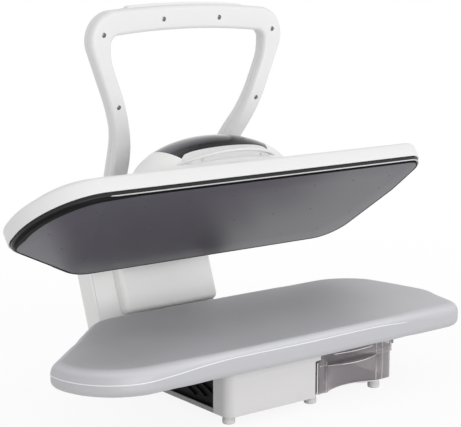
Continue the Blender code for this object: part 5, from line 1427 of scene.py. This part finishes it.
def screw_grid(radius, height):
    """A screw head: a low dome, less a cross of two slots that narrow to their floor."""
    part = np.concatenate(((0.04,), np.linspace(0.10, 1.0, 19)))
    turn = full_turn(64)
    x = radius * part[:, None] * np.cos(turn)
    y = radius * part[:, None] * np.sin(turn)
    near = np.minimum(np.abs(x), np.abs(y))
    far = np.maximum(np.abs(x), np.abs(y))
    slot = fading(near, 0.13 * radius, 0.06 * radius)
    reach = fading(far, 0.62 * radius, 0.10 * radius)
    up = height * (1 - 0.45 * part[:, None] ** 2) - 0.0007 * slot * reach
    top = np.stack((x, y, up), axis=-1)
    ring = top[-1:] * (1.0, 1.0, 0.0)
    return np.concatenate((top, ring))


class PRESS_OT_handle(PressOperator, Operator):
    """Makes the handle's two shells, the pad on its grip bar and the cross-head screws."""
    bl_idname = "press.handle"
    bl_label = "Handle"

    def build(self, press):
        handle = press.handle
        lower, upper = [piece(name, skin(on_head(press, handle_grid(press, over))), smooth=50.0)
                        for name, over in (("handle_front_half", False), ("handle_back_half", True))]
        recess = ((handle.recess, -handle.recess_depth - handle.screw_dome), (handle.recess, overrun))
        hole = turned(recess, (0.0, 0.0, 0.0))
        screw = screw_grid(handle.screw, handle.screw_dome)
        spots = [(side * x, drop) for side in (-1, 1) for x, drop in screw_spots(press)]
        faces = [screw_frame(press, *spot, 0.0) for spot in spots]
        carve(lower, [skin(on_head(press, in_frame(face, hole))) for face in faces], smooth=50.0)
        dress(lower, "handle_white", "head", "handle_lower_shell", slot="white")
        dress(upper, "handle_white", "head", "handle_upper_shell", slot="white")
        for number, spot in enumerate(spots, 1):
            seat = screw_frame(press, *spot, handle.recess_depth)
            head = piece(f"cross_screw_{number}", skin(on_head(press, in_frame(seat, screw))), smooth=60.0)
            dress(head, "screw", "head", f"handle_screw_{number}", slot="steel")

        margin = 0.004
        crown = handle.thickness / 2 + touch_gap
        plan = rectangle(-handle.grip_half, margin, handle.grip_half, inner_top - margin, margin)
        pad = stack(plan, [(0.0, crown), *upper_edge(0.0, crown + 0.0028, 0.002, 7, 0.0018)])
        line, outward = resampled(
            rectangle(-handle.ridge_half, -handle.grip_ridge, handle.ridge_half, 0.010, 0.0035), 0.003)
        outer, _ = loop_outlines(press, handle_side(press)[-1])
        top_line = outer[outer[:, 1] < 0.02]
        line[:, 1] += np.interp(line[:, 0], top_line[:, 0], top_line[:, 1])
        ridge = stack((line, outward), ((-0.0012, 0.0020), (0.0, 0.0032), (0.0, crown + 0.0010),
                                        (-0.0010, crown + 0.0020)))
        forms = [bent(press, flat[..., 0], flat[..., 1], flat[..., 2]) for flat in (pad, ridge)]
        grip = piece("soft_grip", *[skin(on_head(press, form)) for form in forms])
        dress(grip, "white", "head", "grip_pad", slot="white")


# The column

class PRESS_OT_column(PressOperator, Operator):
    """Makes the proud box on the column's face, with soft edges."""
    bl_idname = "press.column"
    bl_label = "Column"

    def build(self, press):
        column = press.column
        plan = rectangle(column.box_left, column.box_bottom, column.box_right, column.box_top,
                         column.box_corner, 14)
        face = column.front + column.box_proud
        seat = column.front + touch_gap
        wall, edge = column.wall, column.box_edge
        inside = ((-0.012, face - wall), (-wall - 0.003, face - wall - 0.001), (-wall, face - edge),
                  (-wall, seat))
        flat = stack(plan, [*inside, (0.0, seat), *upper_edge(0.0, face, edge, 12)])
        form = np.stack((flat[..., 0], -flat[..., 2], flat[..., 1]), axis=-1)
        box = piece("column_box", skin(on_column(press, form)), smooth=40.0)
        dress(box, "white", "head", "column_box_cover", slot="white")


# The tank and the base's small pieces

def bow(left, right, front, depth, steps=32):
    """A shallow arc in plan, from one end to the other: depth is how far its middle lies from its ends."""
    half = (right - left) / 2
    radius = (half ** 2 + depth ** 2) / (2 * abs(depth))
    angle = math.asin(half / radius) * np.linspace(-1.0, 1.0, steps + 1)
    deep = abs(depth) - radius * (1 - np.cos(angle))
    return np.column_stack((left + half + radius * np.sin(angle), front + math.copysign(1.0, depth) * deep))


def lens(left, right, front, depth, back):
    """A closed outline of an arc and a straight back, with its outward directions."""
    arc = bow(left, right, front, depth)
    points = np.vstack((arc, ((right, back), (left, back))))
    way = np.roll(points, -1, axis=0) - np.roll(points, 1, axis=0)
    outward = np.column_stack((way[:, 1], -way[:, 0]))
    return points, outward / np.linalg.norm(outward, axis=1)[:, None]


class PRESS_OT_tank(PressOperator, Operator):
    """Makes the smoked clear tank: hollow, with a scooped front, a pull lip, a plate, and near-white beads
    along its edges as painted highlights.
    """
    bl_idname = "press.tank"
    bl_label = "Water tank"

    def build(self, press):
        tank = press.tank
        wall, soft, front, roof = tank.wall, tank.soft, tank.front, tank.scoop_top
        left, right, bottom = tank.scoop_left, tank.scoop_right, tank.bottom

        def solid(outline, levels):
            return skin(on_base(press, stack(outline, levels)))

        plan = rectangle(tank.left, front, tank.right, tank.back, tank.corner, 12)
        body = piece("smoked_tank", solid(plan, [*lower_edge(0.0, bottom, soft, 6),
                                                 *upper_edge(0.0, tank.top, soft / 2, 6)]))
        low = (tank.left + tank.plate_inset, front - touch_gap, roof + wall)
        high = (tank.right - touch_gap * 2, front + wall, tank.plate_top)
        carve(body, [skin(on_base(press, block(low, high)))], "UNION")
        inside = rectangle(tank.left + wall, front + wall, tank.right - wall, tank.back - wall,
                           tank.corner - wall, 12)
        hollow = piece("tank_hollow", solid(inside, ((0.0, bottom + wall), (0.0, tank.top + overrun))))
        grown = lens(left - wall, right + wall, front + wall, tank.scoop_depth, front - overrun)
        carve(hollow, [solid(grown, ((0.0, bottom - overrun), (0.0, roof + wall)))])
        carve(body, [skin_of(hollow)])
        bpy.data.objects.remove(hollow)
        scoop = lens(left, right, front, tank.scoop_depth, front - overrun)
        carve(body, [solid(scoop, ((0.0, bottom - overrun), (0.0, roof)))])
        lip = lens(left - wall, right + wall, front, -tank.lip_reach, front + wall / 2)
        half = tank.lip_height / 2
        turn = np.linspace(-math.pi / 2, math.pi / 2, 9)
        levels = np.column_stack((half * (np.cos(turn) - 1), roof + half + half * np.sin(turn)))
        carve(body, [solid(lip, levels)], "UNION", smooth=50.0)
        dress(body, "tank", "tank", "water_tank", slot="clear")

        # Near-white beads along the tank's edges, arcs and plate: painted highlights.
        bead = tank.bead
        up = (0.0, 0.0, 1.0)
        ahead = (0.0, 1.0, 0.0)
        face = front + bead
        ends = (tank.left + 0.004, tank.right - 0.004)
        middle = (tank.left + tank.right) / 2
        across = ((left, right, front, 0.0005 - tank.lip_reach, roof + half),
                  (left, right, front, tank.scoop_depth, bottom + bead),
                  (left + 0.012, right - 0.006, front + 0.0005, -0.0035, roof + 0.0150))
        lines = [(line_at(bow(*arc), height), bead, up) for *arc, height in across]
        plate = tank.plate_top
        for x, top in ((tank.left + 0.0012, tank.top), (left - 0.0010, tank.top), (right + 0.0010, plate),
                       (right + 0.0125, plate), (tank.right - 0.0018, plate)):
            deep = front + (0.0010 if ends[0] < x < ends[1] else 0.0022)
            path = np.linspace((x, deep, bottom + 0.0016), (x, deep, top - 0.0012), 12)
            lines.append((path, tank.broad_bead if x > middle else bead, ahead))
        flats = [(*span, height, 12) for span in ((ends[0], left), (right, ends[1]))
                 for height in (bottom + bead, roof + wall)]
        for start, end, height, steps in (*flats, (low[0] + bead, high[0] - bead, plate, 40)):
            lines.append((np.linspace((start, face, height), (end, face, height), steps), bead, up))
        edges = piece("tank_edges", *[skin(on_base(press, rod_along(*line))) for line in lines], smooth=60.0)
        dress(edges, "tank_edge", "tank", slot="clear")


class PRESS_OT_feet(PressOperator, Operator):
    """Makes the six feet, each a short round pad with a rounded tread and a shallow ring."""
    bl_idname = "press.feet"
    bl_label = "Feet"

    def build(self, press):
        for number in range(1, 7):
            low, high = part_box(f"foot_{number}")
            radius = (high[0] - low[0]) / 2
            centre = ((low[0] + high[0]) / 2, (low[1] + high[1]) / 2, 0.0)
            pole = radius * 0.04
            waist = radius - 0.0005
            hollow = low[2] + 0.0006
            profile = ((pole, hollow), (radius * 0.45, hollow), (radius * 0.52, low[2]),
                       *lower_edge(radius, low[2], press.base.foot_edge, 8), (radius, high[2] * 0.52),
                       (waist, high[2] * 0.55), (waist, high[2]), (pole, high[2]))
            dress(piece(f"foot_pad_{number}", skin(turned(profile, centre, 48))),
                  "rubber", "base", f"foot_{number}", slot="rubber")


class PRESS_OT_fascia(PressOperator, Operator):
    """Makes the thin lip that stands out over the front fascia, under the board."""
    bl_idname = "press.fascia"
    bl_label = "Fascia lip"

    def build(self, press):
        base = press.base
        low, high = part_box("front_fascia")
        left, front, _ = np.array(low) - press_shift(press)
        right, back, top = np.array(high) - press_shift(press)
        plan = rounded(((left, front), (left, back), (right, back), (right, front)),
                       (base.lip_corner, touch_gap, touch_gap, base.lip_tight), 12)
        foot = top - base.lip_drop
        proud = base.lip_proud
        levels = ((0.0, foot), (proud - 0.0003, foot), (proud, foot + 0.0003), (proud, top + 0.0042),
                  (0.0, top + 0.0050))
        lip = piece("fascia_lip", skin(on_base(press, stack(plan, levels))))
        dress(lip, "base_white", "base", slot="white")


class PRESS_OT_nodes(PressOperator, Operator):
    """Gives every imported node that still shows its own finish."""
    bl_idname = "press.nodes"
    bl_label = "Finishes of the packed nodes"

    def build(self, press):
        for finish, names in node_finishes.items():
            for name in names.split():
                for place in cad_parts[name].material_slots:
                    place.material = finishes[finish]


# The stage

# Each lamp's place, what it faces and its size
lamps = {
    "top": ((-0.5, -0.2, 2.6), (0.0, 0.0, 0.2), (2.6, 2.2)),
    "front": ((-0.15, -2.6, 0.7), (0.0, 0.0, 0.2), (1.8, 1.2)),
    "side": ((1.9, -1.3, 0.9), (0.1, 0.0, 0.2), (1.2, 1.2)),
}
floor_half = 9.0
full_white = (1.0, 1.0, 1.0)


class PRESS_OT_stage(PressOperator, Operator):
    """Makes the pale floor, the even sky, the lamps and the camera."""
    bl_idname = "press.stage"
    bl_label = "Stage"

    def build(self, press):
        stage = press.stage
        scene = bpy.context.scene
        scene.view_settings.view_transform = "Standard"
        corners = np.array(((-1, -1, 0), (1, -1, 0), (1, 1, 0), (-1, 1, 0))) * floor_half
        mesh = bpy.data.meshes.new("floor")
        mesh.from_pydata(corners.tolist(), [], [(0, 1, 2, 3)])
        floor = add_object("floor", mesh)
        floor.data.materials.append(floor_material())
        scene.world = sky_world(stage.sky)
        for name, places in lamps.items():
            lamp(f"{name}_lamp", *places, getattr(stage, name))
        lens = bpy.data.cameras.new("camera")
        lens.sensor_width = 36.0
        lens.lens = stage.focal
        camera = add_object("camera", lens)
        camera.location = stage.camera_place
        camera.rotation_euler = (math.pi / 2 - stage.camera_down, 0.0, -stage.camera_turn)
        scene.camera = camera


def seen(tree):
    """1 for what the camera, gloss and clear plastic see, and 0 for light that falls on a surface."""
    path = tree.nodes.new("ShaderNodeLightPath")
    kinds = ("Camera", "Glossy", "Transmission")
    camera, gloss, clear = [Wire(tree, path.outputs[f"Is {kind} Ray"]) for kind in kinds]
    return (camera + gloss + clear).held(0.0, 1.0)


def floor_material():
    """Pale floor: lit and shadowed close to the press, and plain white further out, as the sky is."""
    look = Finish("pale_floor", (0.93, 0.93, 0.93), 0.9, Specular_IOR_Level=0.0)
    here = look.place((1.0, 1.0, 0.0))
    away = look.node("ShaderNodeVectorMath", {"operation": "LENGTH"}, {0: here}, "Value")
    far = ((away - 0.45) * 1.25).held(0.0, 1.0)
    glow = look.node("ShaderNodeEmission", None, {"Color": full_white, "Strength": 1.0})
    lit = Wire(look.tree, look.shader.outputs[0])
    glowing = (0.90 + far * 0.10) * seen(look.tree)
    mixed = look.node("ShaderNodeMixShader", None, {0: glowing, 1: lit, 2: glow})
    plug(look.tree, look.tree.nodes["Material Output"].inputs["Surface"], mixed)
    return look.material


def sky_world(strength):
    """An even sky that the camera, gloss and clear plastic see as white."""
    world = bpy.data.worlds.new("sky")
    world.use_nodes = True
    tree = world.node_tree
    background = tree.nodes["Background"]
    plug(tree, background.inputs["Color"], full_white)
    plug(tree, background.inputs["Strength"], strength + seen(tree) * (1.0 - strength))
    return world


def lamp(name, place, target, reach, power):
    """A large soft lamp that faces a target."""
    light = bpy.data.lights.new(name, "AREA")
    light.shape = "RECTANGLE"
    light.size, light.size_y = reach
    light.energy = power
    thing = add_object(name, light)
    way = np.array(target) - np.array(place)
    thing.location = place
    thing.rotation_euler = (
        math.atan2(math.hypot(way[0], way[1]), -way[2]), 0.0, math.atan2(way[1], way[0]) - math.pi / 2)


# Panel, registering and running

makers = (PRESS_OT_stage, PRESS_OT_board, PRESS_OT_soleplate, PRESS_OT_head_shell, PRESS_OT_housing,
          PRESS_OT_buttons, PRESS_OT_handle, PRESS_OT_column, PRESS_OT_tank, PRESS_OT_feet,
          PRESS_OT_fascia, PRESS_OT_nodes)


class PRESS_PT_panel(Panel):
    """Lists the makers and the settings of the press in the 3D view's sidebar."""
    bl_idname = "PRESS_PT_panel"
    bl_label = "Steam ironing press"
    bl_space_type = "VIEW_3D"
    bl_region_type = "UI"
    bl_category = "Press"

    def draw(self, context):
        """Draws one button a maker and one box a group of settings."""
        for maker in makers:
            self.layout.operator(maker.bl_idname)
        for name in groups:
            box = self.layout.box()
            box.label(text=name.capitalize())
            settings = getattr(context.scene.press, name)
            for key in settings.bl_rna.properties.keys():
                if key not in {"rna_type", "name"}:
                    box.prop(settings, key)


classes = (*groups.values(), PressSettings, *makers, PRESS_PT_panel)


def register():
    """Registers every class and hangs the settings on the scene."""
    for item in classes:
        bpy.utils.register_class(item)
    bpy.types.Scene.press = PointerProperty(type=PressSettings)


def unregister():
    """Takes the settings and every class away again."""
    del bpy.types.Scene.press
    for item in reversed(classes):
        bpy.utils.unregister_class(item)


def main():
    """Registers the classes and makes the press."""
    register()
    for maker in makers:
        group, name = maker.bl_idname.split(".")
        getattr(getattr(bpy.ops, group), name)()


if __name__ == "__main__":
    main()
